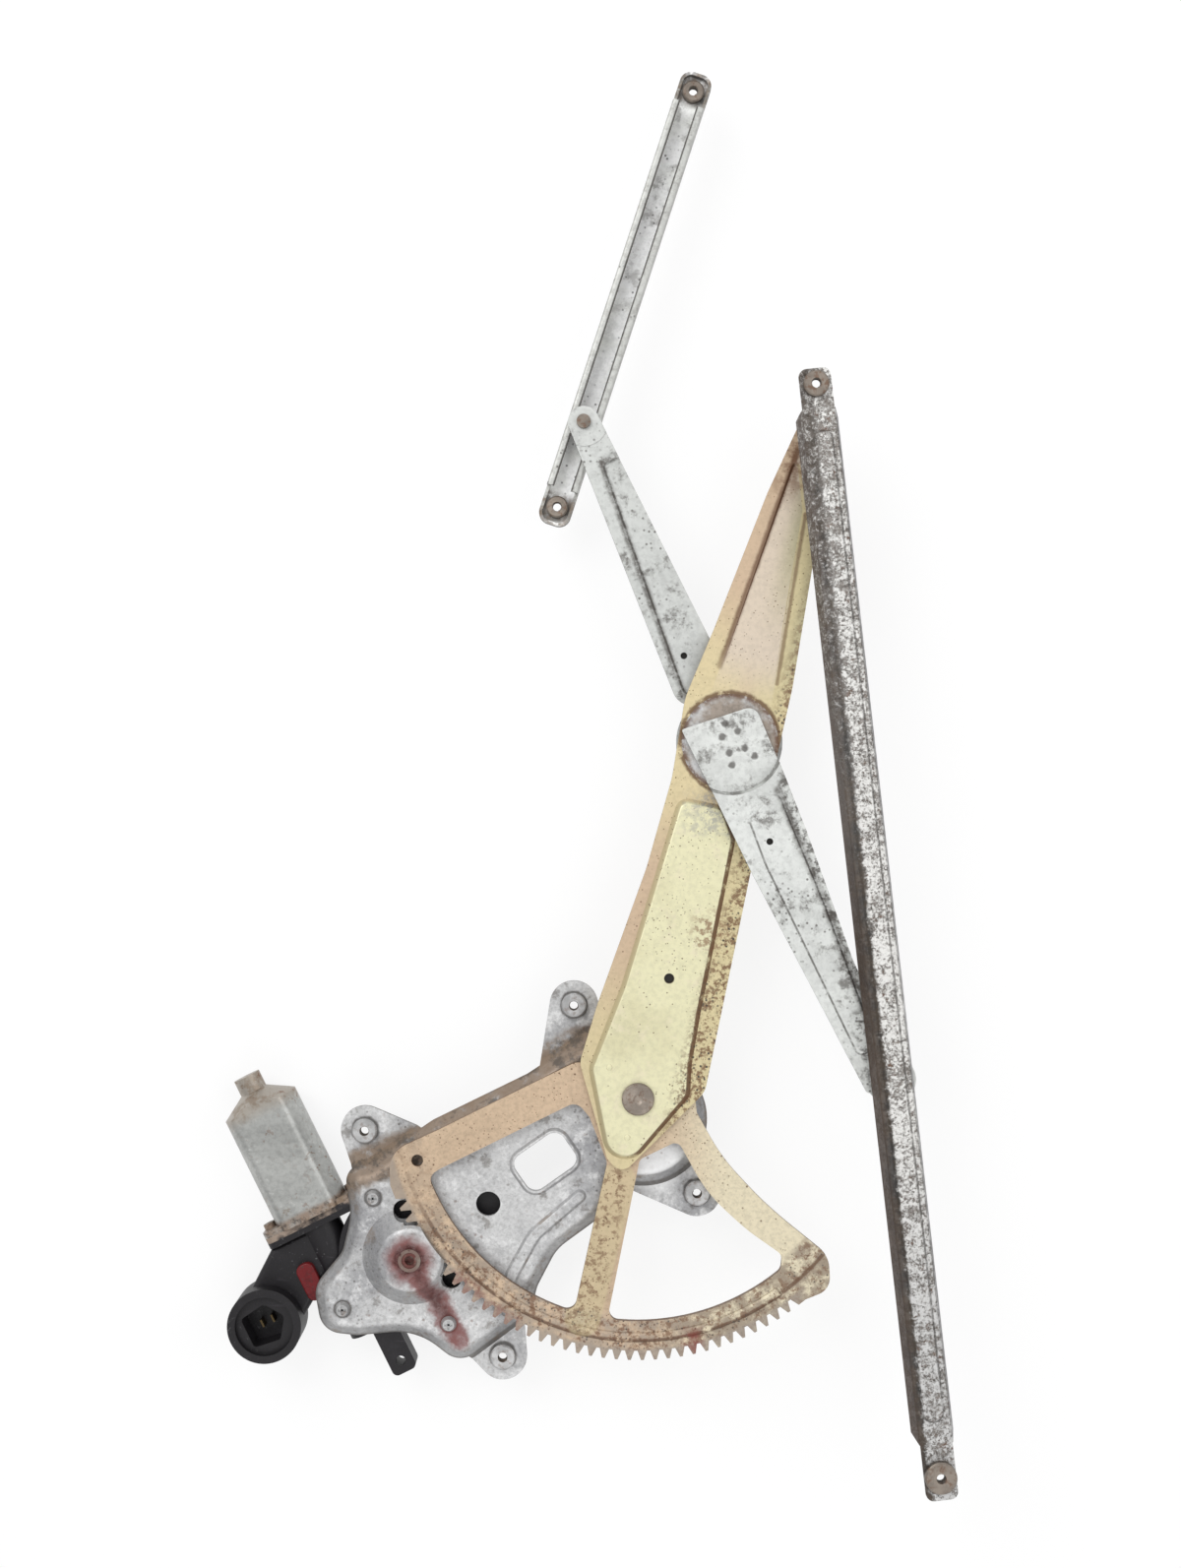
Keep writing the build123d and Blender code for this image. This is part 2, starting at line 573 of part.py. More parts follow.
def front_half():
    """Lower half of the equalizer arm: flat on the hub, then stepped up to pass over the lift arm."""
    body = outline(
        [(22, 186.7), (59.2, 199), (70.5, 172), (85, 135), (109, 68), (138.5, 16), (115.5, 3), (56.7, 115.4)],
        [1, 6, 4, 60, 60, 2, 2, 60])
    plan = body + Pos(*EQUALIZER_STUD) * Circle(FRONT_TIP_R)
    far = math.dist(SCISSOR, EQUALIZER_STUD) + 2 * FRONT_TIP_R
    rise = front_low - hub_top
    section = Polygon(
        (0, hub_top), (STEP_R + ARM_T / 2, hub_top), (STEP_R + ARM_T / 2 + STEP_RUN, hub_top + rise), (far, front_low),
        (far, front_top), (STEP_R + STEP_RUN, front_top), (STEP_R, hub_top + ARM_T), (0, hub_top + ARM_T),
        align=None)
    sheet = Pos(*SCISSOR) * revolve(Plane.XZ * section, axis=Axis.Z)
    arm = sheet & slab(plan, hub_top, front_top)
    panel = outline(
        [(56.5, 140.5), (69.2, 156), (93, 98.5), (114, 42), (118, 26), (111, 23), (64.5, 119)],
        [3, 3, 120, 30, 3, 3, 60])
    arm = press_up(arm, panel, front_top, FRONT_PRESS, ARM_T)
    arm -= disc((66.1, 130.3), SIGHT_DIMPLE_R, front_low + FRONT_PRESS + DIMPLE_FLOOR, front_top + FRONT_PRESS)
    return arm - disc(EQUALIZER_STUD, STUD_R + SEAT_FIT, front_low, front_top)


def scissor_hub():
    """Round hub that turns in the lift arm and joins the two halves of the equalizer arm."""
    return disc(SCISSOR, HUB_R, rear_top, hub_top)


def channel_section(inner, depth, slot, flare):
    """C-section with its back on the x axis and its lips at the given depth."""
    outer = inner + RAIL_T
    flare_in = flare * (depth - RAIL_T) / depth
    half = [(slot, depth), (outer + flare, depth), (outer, 0)]
    inside = [(inner, RAIL_T), (inner + flare_in, depth - RAIL_T), (slot, depth - RAIL_T)]
    points = [(-x, y) for x, y in half] + half[::-1]
    points += inside[::-1] + [(-x, y) for x, y in inside]
    bend = RAIL_T
    radii = [0.3, bend, bend, bend, bend, 0.3, 0.3, 0.3, 0.3, 0.3, 0.3, 0.3]
    return outline(points, radii)


def lift_rail():
    """Roll-formed rail for the glass, open towards the arms, with a tab and nut seat at each end."""
    section = channel_section(ROLLER_R + ROLLER_PLAY, rail_back - lip_low, RAIL_SLOT_HALF, RAIL_FLARE)
    low, high = rail_nut_x[0] + RAIL_OPEN_TOP, rail_nut_x[1] - RAIL_OPEN_BOTTOM
    place = Plane(origin=(low, 0, rail_back), x_dir=(0, -1, 0), z_dir=(1, 0, 0))
    rail = extrude(place * section, amount=high - low)
    wall = ROLLER_R + ROLLER_PLAY + RAIL_T
    wide = wall + 2 * RAIL_FLARE
    clipped = [(low, -wall), (low + RAIL_CLIP, -wide), (high - RAIL_CLIP, -wide), (high, -wall)]
    clipped += [(x, -y) for x, y in reversed(clipped)]
    rail &= slab(Polygon(*clipped, align=None), lip_low, rail_back)
    half = RAIL_TAB_HALF
    tops = (rail_nut_x[0] - RAIL_TAB_TOP, rail_nut_x[1] + RAIL_TAB_BOTTOM)
    for start, end in ((tops[0], low + half), (high - half, tops[1])):
        tab = Pos((start + end) / 2, 0) * RectangleRounded(end - start, 2 * half, half / 2)
        rail += slab(tab, rail_back - RAIL_T, rail_back)
    strip = Pos((low + high) / 2, 0) * RectangleRounded(high - low - 3 * half, RAIL_PANEL_W, RAIL_PANEL_W / 2.1)
    rail = press_up(rail, strip, rail_back, RAIL_PANEL_H, RAIL_T)
    for x in rail_nut_x:
        rail -= disc((x, 0), PILOT_R + SEAT_FIT, rail_back - RAIL_T, rail_back)
    return rail_frame * rail


def rail_nuts():
    nuts = []
    for x, radius in zip(rail_nut_x, (NUT_R, GLASS_NUT_R)):
        nuts.append(rail_frame * Pos(x, 0) * weld_nut(radius, rail_back, RAIL_T))
    return nuts


def guide_channel():
    """Short channel bolted to the door, open towards the arm, with a tab and nut seat at each end."""
    section = channel_section(ROLLER_R + ROLLER_PLAY, guide_lip, GUIDE_SLOT_HALF, 0.0)
    low, high = guide_nut_x[0] + GUIDE_OPEN_END, guide_nut_x[1] - GUIDE_OPEN_END
    place = Plane(origin=(low, 0, 0), x_dir=(0, 1, 0), z_dir=(1, 0, 0))
    channel = extrude(place * section, amount=high - low)
    half = ROLLER_R + ROLLER_PLAY + RAIL_T
    tab = RectangleRounded(GUIDE_HOLE_SPAN + 2 * GUIDE_TAB_LEN, 2 * half, GUIDE_TAB_CORNER)
    cup = slab(tab, 0, RAIL_T) + slab(tab - offset(tab, -RAIL_T), 0, GUIDE_CUP_H)
    channel += Pos(sum(guide_nut_x) / 2, 0) * cup
    for x in guide_nut_x:
        channel -= disc((x, 0), PILOT_R + SEAT_FIT, 0, RAIL_T)
    return guide_frame * channel


def guide_nuts():
    return [guide_frame * Pos(x, 0) * weld_nut(GUIDE_NUT_R, RAIL_T, RAIL_T) for x in guide_nut_x]


def along(plan, start, end):
    """A shape in the motor's cross-section, raised along its axis."""
    return extrude(Plane.YZ.offset(start) * plan, amount=end - start)


def yoke_form(inset):
    """The drawn can with its dome and nipple, made smaller all round by an inset."""
    end = -YOKE_LEN + inset
    tip = -YOKE_LEN - DOME_LEN
    points = [(0, 0), (0, YOKE_R - inset), (end, YOKE_R - inset), (tip + inset, NIPPLE_R - inset),
              (tip - NIPPLE_LEN + inset, NIPPLE_R - inset), (tip - NIPPLE_LEN + inset, 0)]
    turned = revolve(make_face(Polyline(*points, close=True)), axis=Axis.X)
    return turned & Box(4 * YOKE_LEN, 2 * YOKE_R, YOKE_FLATS - 2 * inset)


def flange_plan():
    plan = RectangleRounded(flange_w, FLANGE_H, FLANGE_H / 4)
    return plan - [Pos(side * flange_screw_out, 0) * Circle(FLANGE_SCREW_R + SEAT_FIT) for side in (-1, 1)]


def motor_yoke():
    """Steel can of the motor, with two flats and a flange at its open end."""
    can = yoke_form(0)
    can = fillet(can.edges().filter_by(Axis.X), YOKE_EDGE) + along(flange_plan(), -FLANGE_T, 0)
    return motor_frame * (can - yoke_form(YOKE_T))


def rear_bearing():
    end = -YOKE_LEN - DOME_LEN - NIPPLE_LEN + YOKE_T
    ring = Circle(NIPPLE_R - YOKE_T - SEAT_FIT) - Circle(ARMATURE_R + RUN_FIT)
    return motor_frame * along(ring, end, end + BEARING_LEN)


def field_magnets():
    """Two arc magnets against the round sides of the can."""
    outer = YOKE_R - YOKE_T - SEAT_FIT
    ring = Circle(outer) - Circle(outer - MAGNET_T)
    magnets = []
    for side in (0, 180):
        wedge = Polygon(
            (0, 0), polar(2 * outer, side - MAGNET_SPAN / 2), polar(2 * outer, side), polar(2 * outer, side + MAGNET_SPAN / 2),
            align=None)
        arc = along(ring & wedge, CORE_AT - MAGNET_LEN / 2, CORE_AT + MAGNET_LEN / 2)
        magnets.append(motor_frame * (arc & Box(4 * YOKE_LEN, 2 * YOKE_R, YOKE_FLATS - 2 * YOKE_T - 2 * SEAT_FIT)))
    return magnets


def brush_plate():
    """Moulded plate between the can and the gear housing, which carries the brushes."""
    plate = flange_plan() - Circle(COMMUTATOR_R + 2 * FACE_GAP)
    return motor_frame * along(plate, 0, BRUSH_PLATE_T)


def brushes():
    """Two carbon brushes, one on each side of the commutator."""
    length, reach, height = BRUSH
    blocks = []
    for side in (-1, 1):
        y = side * (COMMUTATOR_R + RUN_FIT + reach / 2)
        block = Pos(-length / 2, y, 0) * Box(length, reach, height)
        blocks.append(motor_frame * (block - along(Circle(COMMUTATOR_R + RUN_FIT), -length, 0)))
    return blocks


def flange_screws():
    """Two screws that hold the can and the brush plate to the gear housing."""
    screws = []
    for side in (-1, 1):
        head = along(Circle(FLANGE_SCREW_HEAD_R), -FLANGE_T - FLANGE_SCREW_HEAD_H, -FLANGE_T)
        shank = along(Circle(FLANGE_SCREW_R), -FLANGE_T, BRUSH_PLATE_T + HOUSING_T)
        screws.append(motor_frame * Pos(0, side * flange_screw_out, 0) * (head + shank))
    return screws


def armature_shaft():
    """Motor shaft with the worm cut in its output end."""
    end = -YOKE_LEN - DOME_LEN - NIPPLE_LEN + YOKE_T
    shaft = along(Circle(ARMATURE_R), end + FACE_GAP, TUNNEL_END - HOUSING_T - FACE_GAP)
    middle = pinion_in_motor.X
    worm = along(Circle(WORM_R), middle - WORM_LEN / 2, middle + WORM_LEN / 2)
    return motor_frame * (shaft + worm)


def armature_core():
    """Laminated core with winding slots."""
    disc_plan = Circle(CORE_R) - Circle(ARMATURE_R + SEAT_FIT)
    slot = Pos(CORE_R, 0) * Rectangle(2 * CORE_SLOT_DEEP, CORE_SLOT_W)
    disc_plan -= [Rot(0, 0, 360 * (step + 0.5) / CORE_SLOTS) * slot for step in range(CORE_SLOTS)]
    return motor_frame * along(disc_plan, CORE_AT - CORE_LEN / 2, CORE_AT + CORE_LEN / 2)


def commutator():
    ring = Circle(COMMUTATOR_R) - Circle(ARMATURE_R + SEAT_FIT)
    return motor_frame * along(ring, COMMUTATOR_AT - COMMUTATOR_LEN / 2, COMMUTATOR_AT + COMMUTATOR_LEN / 2)


def worm_bearings():
    """Bushes at both ends of the worm."""
    ring = Circle(ARMATURE_R + RUN_FIT + BEARING_WALL) - Circle(ARMATURE_R + RUN_FIT)
    start = BRUSH_PLATE_T + HOUSING_T
    stop = TUNNEL_END - HOUSING_T
    return [motor_frame * along(ring, start, start + BEARING_LEN), motor_frame * along(ring, stop - BEARING_LEN, stop)]


def lobe(centre, radius, low, high):
    """A boss joined to the drum by straight sides."""
    root = Pos(*PINION) * Circle(drum_r / 2)
    return slab(make_hull((Pos(*centre) * Circle(radius)).edges() + root.edges()), low, high)


def housing_form():
    """Outside of the gear housing: drum, worm tunnel, flange, screw bosses and lugs."""
    form = disc(PINION, drum_r, cover_top, DRUM_TOP)
    form -= motor_frame * along(Rectangle(flange_w, 2 * FLANGE_H), -FLANGE_T - FLANGE_SCREW_HEAD_H, BRUSH_PLATE_T)
    form += motor_frame * along(Circle(TUNNEL_R), BRUSH_PLATE_T, TUNNEL_END)
    form += motor_frame * along(flange_plan(), BRUSH_PLATE_T, BRUSH_PLATE_T + HOUSING_T)
    for place in MOTOR_SCREWS:
        form += disc(place, BOSS_R, MOTOR_Z, PAN_RISE)
    length, width, corner = TIP_ARM
    tip_arm = Pos(TIP_ARM_AT[0] + width / 2 - length / 2, TIP_ARM_AT[1]) * RectangleRounded(length, width, corner)
    form += motor_plan * slab(tip_arm, MOTOR_Z, DRUM_TOP)
    return form + lobe(SPIGOT_AT, SPIGOT_HOLE_R + HOUSING_T, MOTOR_Z, DRUM_TOP)


def gear_housing():
    """Moulded housing of the worm drive, open below under its cover."""
    housing = housing_form()
    housing -= disc(PINION, wheel_tip + FACE_GAP, cover_top, wheel_top + FACE_GAP)
    start = BRUSH_PLATE_T + HOUSING_T
    seat = ARMATURE_R + RUN_FIT + BEARING_WALL + SEAT_FIT
    housing -= motor_frame * along(Circle(seat), BRUSH_PLATE_T, TUNNEL_END - HOUSING_T)
    clear = Circle(WORM_R + 2 * FACE_GAP)
    housing -= motor_frame * along(clear, start + BEARING_LEN, TUNNEL_END - HOUSING_T - BEARING_LEN)
    housing -= disc(PINION, SHAFT_R + RUN_FIT, cover_top, DRUM_TOP)
    for side in (-1, 1):
        bore = along(Circle(FLANGE_SCREW_R + SEAT_FIT), BRUSH_PLATE_T, start + FACE_GAP)
        housing -= motor_frame * Pos(0, side * flange_screw_out, 0) * bore
    for place in MOTOR_SCREWS:
        housing -= disc(place, SCREW_R + SEAT_FIT, pan_top - SCREW_LEN - FACE_GAP, PAN_RISE)
    return housing - motor_plan * disc(TIP_ARM_AT, TIP_ARM_HOLE_R, MOTOR_Z, DRUM_TOP)


def gear_cover():
    """Lid under the worm wheel."""
    tunnel = along(Circle(TUNNEL_R + FACE_GAP), 0, TUNNEL_END)
    flange = along(Rectangle(2 * flange_w, 2 * FLANGE_H), 0, BRUSH_PLATE_T + HOUSING_T + FACE_GAP)
    return disc(PINION, drum_r, cover_low, cover_top) - motor_frame * (tunnel + flange)


def motor_screws():
    """Screws through the pan into the gear housing."""
    screws = []
    for place in MOTOR_SCREWS:
        head = Pos(*place, pan_top + SCREW_HEAD_H / 2) * Cylinder(SCREW_HEAD_R, SCREW_HEAD_H)
        head = fillet(head.edges().group_by(Axis.Z)[-1], SCREW_HEAD_H / 2)
        screws.append(head + disc(place, SCREW_R, pan_top - SCREW_LEN, pan_top))
    return screws


def socket_plan():
    """Kite-shaped socket of the connector."""
    return outline([(-10, -8), (4, -10), (11, 0), (4, 10), (-10, 8)], [2, 2, 3, 2, 2])


def connector_shell():
    """Round plug socket on the side of the housing."""
    low = POD_TOP - POD_DEEP
    pod = disc(POD_AT, POD_R, low, POD_TOP)
    block = Pos(BRUSH_PLATE_T + HOUSING_T + 11, -flange_w / 4) * Rectangle(22, flange_w / 2 - 2)
    neck = make_hull((motor_plan * block).edges() + (Pos(*POD_AT) * Circle(POD_R - POD_WALL)).edges())
    neck = slab(neck, low, NECK_TOP)
    neck = fillet(neck.edges().group_by(Axis.Z)[-1], NECK_EDGE)
    shell = pod + neck - housing_form() - disc(PINION, drum_r, cover_low, DRUM_TOP)
    shell -= disc(POD_AT, POD_R - POD_WALL, POD_TOP - POD_RIM_DEEP, POD_TOP)
    socket = Pos(*POD_AT) * Rot(0, 0, MOTOR_TURN + 90) * socket_plan()
    return shell - slab(socket, POD_TOP - SOCKET_DEEP, POD_TOP)


def terminals():
    """Two flat blades that stand on the floor of the socket."""
    thick, wide, tall = TERMINAL
    floor = POD_TOP - SOCKET_DEEP
    turn = Pos(*POD_AT) * Rot(0, 0, MOTOR_TURN + 90)
    return [turn * Pos(side * TERMINAL_PITCH / 2, 0, floor + tall / 2) * Box(thick, wide, tall) for side in (-1, 1)]


def lock_tab():
    """Coloured locking tab of the connector."""
    length, width, height = LOCK_TAB
    block = slab(RectangleRounded(length, width, LOCK_TAB_END), NECK_TOP, NECK_TOP + height)
    block = fillet(block.edges().group_by(Axis.Z)[-1], height / 4)
    return motor_plan * Pos(*LOCK_TAB_AT) * block


rail_roller_place = roller(roller_low, ROLLER_H)
guide_roller_low = guide_lip - RAIL_T - FACE_GAP - GUIDE_ROLLER_H

NODES = {
    "base_plate": base_plate(),
    "mounting_nuts": mounting_nuts(),
    "pivot_stud": pivot_stud(),
    "pivot_washer": pivot_washer(),
    "pinion_bush": pinion_bush(),
    "motor_screws": motor_screws(),
    "motor_yoke": motor_yoke(),
    "rear_bearing": rear_bearing(),
    "field_magnets": field_magnets(),
    "brush_plate": brush_plate(),
    "brushes": brushes(),
    "flange_screws": flange_screws(),
    "gear_housing": gear_housing(),
    "gear_cover": gear_cover(),
    "worm_bearings": worm_bearings(),
    "connector_shell": connector_shell(),
    "terminals": terminals(),
    "lock_tab": lock_tab(),
    "drive_pinion": drive_pinion(),
    "worm_wheel": worm_wheel(),
    "armature_shaft": armature_shaft(),
    "armature_core": armature_core(),
    "commutator": commutator(),
    "sector_gear": sector_gear(),
    "lift_arm": lift_arm(),
    "lift_stud": Pos(*LIFT_STUD) * rail_stud(arm_low, arm_top),
    "equalizer_rear_half": rear_half(),
    "equalizer_front_half": front_half(),
    "scissor_hub": scissor_hub(),
    "equalizer_stud": Pos(*EQUALIZER_STUD) * rail_stud(front_low, front_top),
    "guide_stud": guide_stud(),
    "lift_roller": Pos(*LIFT_STUD) * rail_roller_place,
    "equalizer_roller": Pos(*EQUALIZER_STUD) * rail_roller_place,
    "guide_roller": Pos(*GUIDE_STUD) * roller(guide_roller_low, GUIDE_ROLLER_H),
    "lift_rail": lift_rail(),
    "rail_nuts": rail_nuts(),
    "guide_channel": guide_channel(),
    "guide_nuts": guide_nuts(),
}

os.makedirs("parts", exist_ok=True)
upper_ear = EARS[1][0]
home = Pos(-upper_ear[0], -upper_ear[1], 0)
for name, shape in NODES.items():
    solids = shape if isinstance(shape, list) else [shape]
    export_step(home * Compound(children=[part for piece in solids for part in piece.solids()]), f"parts/{name}.step")
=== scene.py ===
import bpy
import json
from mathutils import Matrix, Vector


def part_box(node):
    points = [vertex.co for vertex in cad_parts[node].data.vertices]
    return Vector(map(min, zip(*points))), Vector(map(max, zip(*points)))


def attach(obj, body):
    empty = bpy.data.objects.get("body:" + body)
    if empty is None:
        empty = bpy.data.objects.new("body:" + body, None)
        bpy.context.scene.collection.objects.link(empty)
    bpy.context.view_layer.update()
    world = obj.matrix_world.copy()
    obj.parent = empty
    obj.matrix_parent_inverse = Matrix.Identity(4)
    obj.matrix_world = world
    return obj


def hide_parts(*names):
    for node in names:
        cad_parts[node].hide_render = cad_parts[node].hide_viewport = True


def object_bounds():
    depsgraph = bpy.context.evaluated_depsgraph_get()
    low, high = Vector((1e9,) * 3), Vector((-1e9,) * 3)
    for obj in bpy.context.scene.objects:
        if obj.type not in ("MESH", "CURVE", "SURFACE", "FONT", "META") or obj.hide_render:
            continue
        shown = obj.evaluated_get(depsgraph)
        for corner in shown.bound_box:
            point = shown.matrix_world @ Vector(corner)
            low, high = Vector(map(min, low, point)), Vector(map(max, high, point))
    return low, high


bl_info = {
    "name": "Window regulator finish",
    "version": (1, 0, 0),
    "blender": (4, 5, 0),
    "location": "3D View > Sidebar > Regulator",
    "description": "Dresses a scissor window regulator in worn plating, grease and moulded plastic, and lights it",
    "category": "Object",
}

import json
import math

import bmesh
import bpy
from mathutils import Vector

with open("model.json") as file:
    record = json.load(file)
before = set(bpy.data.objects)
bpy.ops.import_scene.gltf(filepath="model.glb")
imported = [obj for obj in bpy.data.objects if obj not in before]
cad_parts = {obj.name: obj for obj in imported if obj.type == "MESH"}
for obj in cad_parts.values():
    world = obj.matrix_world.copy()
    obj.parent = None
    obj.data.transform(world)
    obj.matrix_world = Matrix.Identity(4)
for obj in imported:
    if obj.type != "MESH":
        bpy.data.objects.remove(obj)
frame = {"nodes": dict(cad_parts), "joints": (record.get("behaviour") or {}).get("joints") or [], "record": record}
CAD_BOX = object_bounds()
MM = 0.001


def joint(name, key):
    """A joint's place or axis in the row frame."""
    return Vector(next(item[key] for item in frame["joints"] if item["name"] == name))


PIVOT = joint("sector_turn", "pos_m")
PINION = joint("pinion_spin", "pos_m")
SCISSOR = joint("equalizer_turn", "pos_m")
LIFT_END = joint("lift_roller_turn", "pos_m")
GUIDE_END = joint("guide_roller_turn", "pos_m")
RAIL_WAY = joint("rail_slide", "axis")
GUIDE_WAY = joint("guide_slide", "axis")
MOTOR_FLANGE = joint("armature_spin", "pos_m")
MOTOR_WAY = joint("armature_spin", "axis")

# Plan places, in millimetres from the main pivot.
VIEW_CENTRE = (-24.0, 159.25)
EAR_NUTS = ((-140.3, -19.2), (-32.6, 45.3), (30.8, -51.2), (-69.2, -135.5))
SCREWS = ((-135.2, -52.4), (-150.8, -109.3), (-96.5, -116.8))
SPOT_WELDS = (
    (44.0, 190.0), (50.5, 186.0), (42.5, 183.0), (46.0, 175.0), (54.0, 177.5), (59.0, 173.5), (47.5, 169.0))
ARM_PIPS = ((-14.5, 16.0), (-5.5, -19.5), (16.0, 5.5))
ARM_DIMPLE = (15.8, 60.9)
FRONT_DIMPLE = (66.1, 130.3)
REAR_DIMPLE = (23.6, 224.6)

# Radii and heights, in metres, between which one tone turns into the next.
SECTOR_RIM = (0.109, 0.114)
BEAD_INSIDE = (0.1218, 0.1228)
BEAD_OUTSIDE = (0.1248, 0.1238)
SECTOR_TEETH = (0.1266, 0.1290)
HUB_RIM = (0.0215, 0.0240)
PLATE_FOOT = (0.0056, 0.0042)
ARM_PANEL = (0.0188, 0.0202)
GUIDE_LIP = (0.006, 0.009)

# Weld nuts: the node, how the names of its mounts begin, and the body that carries it.
NUT_GROUPS = (
    ("mounting_nuts", ("upper_", "motor_", "pivot_", "lower_"), "base"),
    ("rail_nuts", ("rail_",), "rail"),
    ("guide_nuts", ("guide_",), "guide"),
)

# Shares of a pip's or a screw head's radius.
PIP_RISE = 0.16
WELD_RISE = 0.1
SCREW_CROWN = 0.72
RECESS_LENGTH = 1.05
RECESS_WIDTH = 0.26

# An edge that turns by more than this stays sharp.
SHARP_EDGE = math.radians(28.0)

# Stage: the floor's reach and drop in metres, the share of its own light, and the sky's strength.
FLOOR_REACH = 4.0
FLOOR_DROP = 0.001
FLOOR_GLOW = 0.82
SKY = 0.55

# Lamps: name, offset from the centre of the view and width in metres, power in watts.
LAMPS = (
    ("key", (-0.75, 0.75, 1.15), 1.1, 15.0),
    ("fill", (0.95, 0.15, 1.0), 1.2, 6.0),
    ("low", (0.05, -1.05, 0.95), 1.0, 4.0),
)


def at(x, y, z=0.0):
    """A plan point in millimetres from the main pivot, at a height in metres."""
    return Vector((PIVOT.x + x * MM, PIVOT.y + y * MM, z))


def tint(code):
    """Linear colour of a swatch given as six hex digits."""
    parts = [int(code[start:start + 2], 16) / 255 for start in (0, 2, 4)]
    return tuple(((part + 0.055) / 1.055) ** 2.4 if part > 0.04045 else part / 12.92 for part in parts)


def swatch(name, code, words):
    """A colour that the user can change."""
    return bpy.props.FloatVectorProperty(
        name=name, description=words, subtype="COLOR", size=3, min=0.0, max=1.0, default=tint(code))


def length(name, millimetres, words):
    """A size that the user can change."""
    return bpy.props.FloatProperty(
        name=name, description=words, unit="LENGTH", precision=5, default=millimetres * MM)


class RegulatorColours(bpy.types.PropertyGroup):
    """Colours of the platings, plastics and dirt."""
    zinc: swatch("Zinc", "CCCCCC", "Base plate's zinc plating")
    zinc_dull: swatch("Dull zinc", "A4A4A6", "Zinc where it has gone dull")
    galvanised: swatch("Galvanised", "DCDEDB", "Equalizer arm's galvanised sheet")
    guide: swatch("Guide zinc", "DADBD7", "Guide channel's sheet")
    flake: swatch("Rail flake", "EAE9E6", "Zinc flakes left on the lift rail")
    rail_bare: swatch("Rail bare", "7E7771", "Lift rail where the zinc is gone")
    peach: swatch("Peach chromate", "CCB499", "Sector's yellow chromate, faded to peach")
    straw: swatch("Straw chromate", "D2C59C", "Lift arm's flanges")
    cream: swatch("Cream chromate", "E0DCB8", "Raised panel of the lift arm")
    rose: swatch("Rose chromate", "D2C4B2", "Sunk panel of the lift arm")
    khaki: swatch("Khaki chromate", "DED5BA", "Right end of the sector")
    sage: swatch("Sage chromate", "B6B08F", "Greenish tone of the chromate")
    taupe: swatch("Taupe", "86725E", "Brown film on the upper slopes")
    rust: swatch("Rust", "6A4A34", "Rust and old dirt")
    soot: swatch("Soot", "4A4642", "Dark grime in corners")
    grease: swatch("Grease", "6C261F", "Red-brown grease round the pinion")
    yoke: swatch("Yoke", "B6B7B4", "Motor can")
    yoke_end: swatch("Yoke end", "A89C8E", "Dome of the motor can, stained")
    bronze: swatch("Bronze", "978678", "Motor flange, stained brown")
    plastic: swatch("Plastic", "19171A", "Gear housing and connector")
    red: swatch("Red tab", "641418", "Locking tab")
    steel: swatch("Steel", "8F857B", "Nuts, studs and screws")


class RegulatorSizes(bpy.types.PropertyGroup):
    """Sizes of the view and of what is added to the solids."""
    camera_height: length("Camera height", 900.0, "Camera's distance above the sector")
    view_width: length("View width", 600.0, "Width of the picture at the sector")
    thread_pitch: length("Thread pitch", 1.0, "Pitch of the weld nuts' thread")
    thread_wire: length("Thread depth", 0.35, "Radius of the thread's ridge")
    weld_spot: length("Weld spot", 1.9, "Radius of a spot weld on the equalizer arm")
    sheet: length("Sheet", 2.0, "Thickness of the equalizer arm's sheet")
    pip: length("Locating pip", 1.5, "Radius of the small pips pressed in the lift arm")
    screw_head: length("Screw head", 4.0, "Radius of a motor screw's head")
    screw_height: length("Screw height", 2.4, "Height of a motor screw's head")


def add_node(tree, kind, settings, sockets, out):
    """Add a node: its type, its settings, the values or links of its sockets, and the output wanted."""
    made = tree.nodes.new(kind)
    for key, value in settings.items():
        setattr(made, key, value)
    for key, value in sockets.items():
        if isinstance(value, bpy.types.NodeSocket):
            tree.links.new(value, made.inputs[key])
        else:
            made.inputs[key].default_value = value
    return made.outputs[out]


def add_object(name, data):
    """Put a new object in the scene."""
    made = bpy.data.objects.new(name, data)
    bpy.context.scene.collection.objects.link(made)
    return made


class Field:
    """A socket of a finish, with arithmetic on its values."""

    def __init__(self, finish, socket):
        self.finish = finish
        self.socket = socket

    def math(self, operation, first, second=None):
        sockets = {0: first} if second is None else {0: first, 1: second}
        return self.finish.node("ShaderNodeMath", {"operation": operation}, sockets)

    def __add__(self, other):
        return self.math("ADD", self, other)

    def __radd__(self, other):
        return self.math("ADD", other, self)

    def __sub__(self, other):
        return self.math("SUBTRACT", self, other)

    def __rsub__(self, other):
        return self.math("SUBTRACT", other, self)

    def __mul__(self, other):
        return self.math("MULTIPLY", self, other)

    def __abs__(self):
        return self.math("ABSOLUTE", self)

    def most(self, other):
        return self.math("MAXIMUM", self, other)

    def least(self, other):
        return self.math("MINIMUM", self, other)

    def ramp(self, low, high):
        """0 below low and 1 above high, or the other way round, with a soft turn between."""
        sockets = {"Value": self, "From Min": min(low, high), "From Max": max(low, high),
                   "To Min": float(low > high), "To Max": float(low <= high)}
        return self.finish.node("ShaderNodeMapRange", {"interpolation_type": "SMOOTHSTEP"}, sockets)

    def part(self, key):
        """One coordinate of a vector."""
        return self.finish.node("ShaderNodeSeparateXYZ", {}, {0: self}, key)


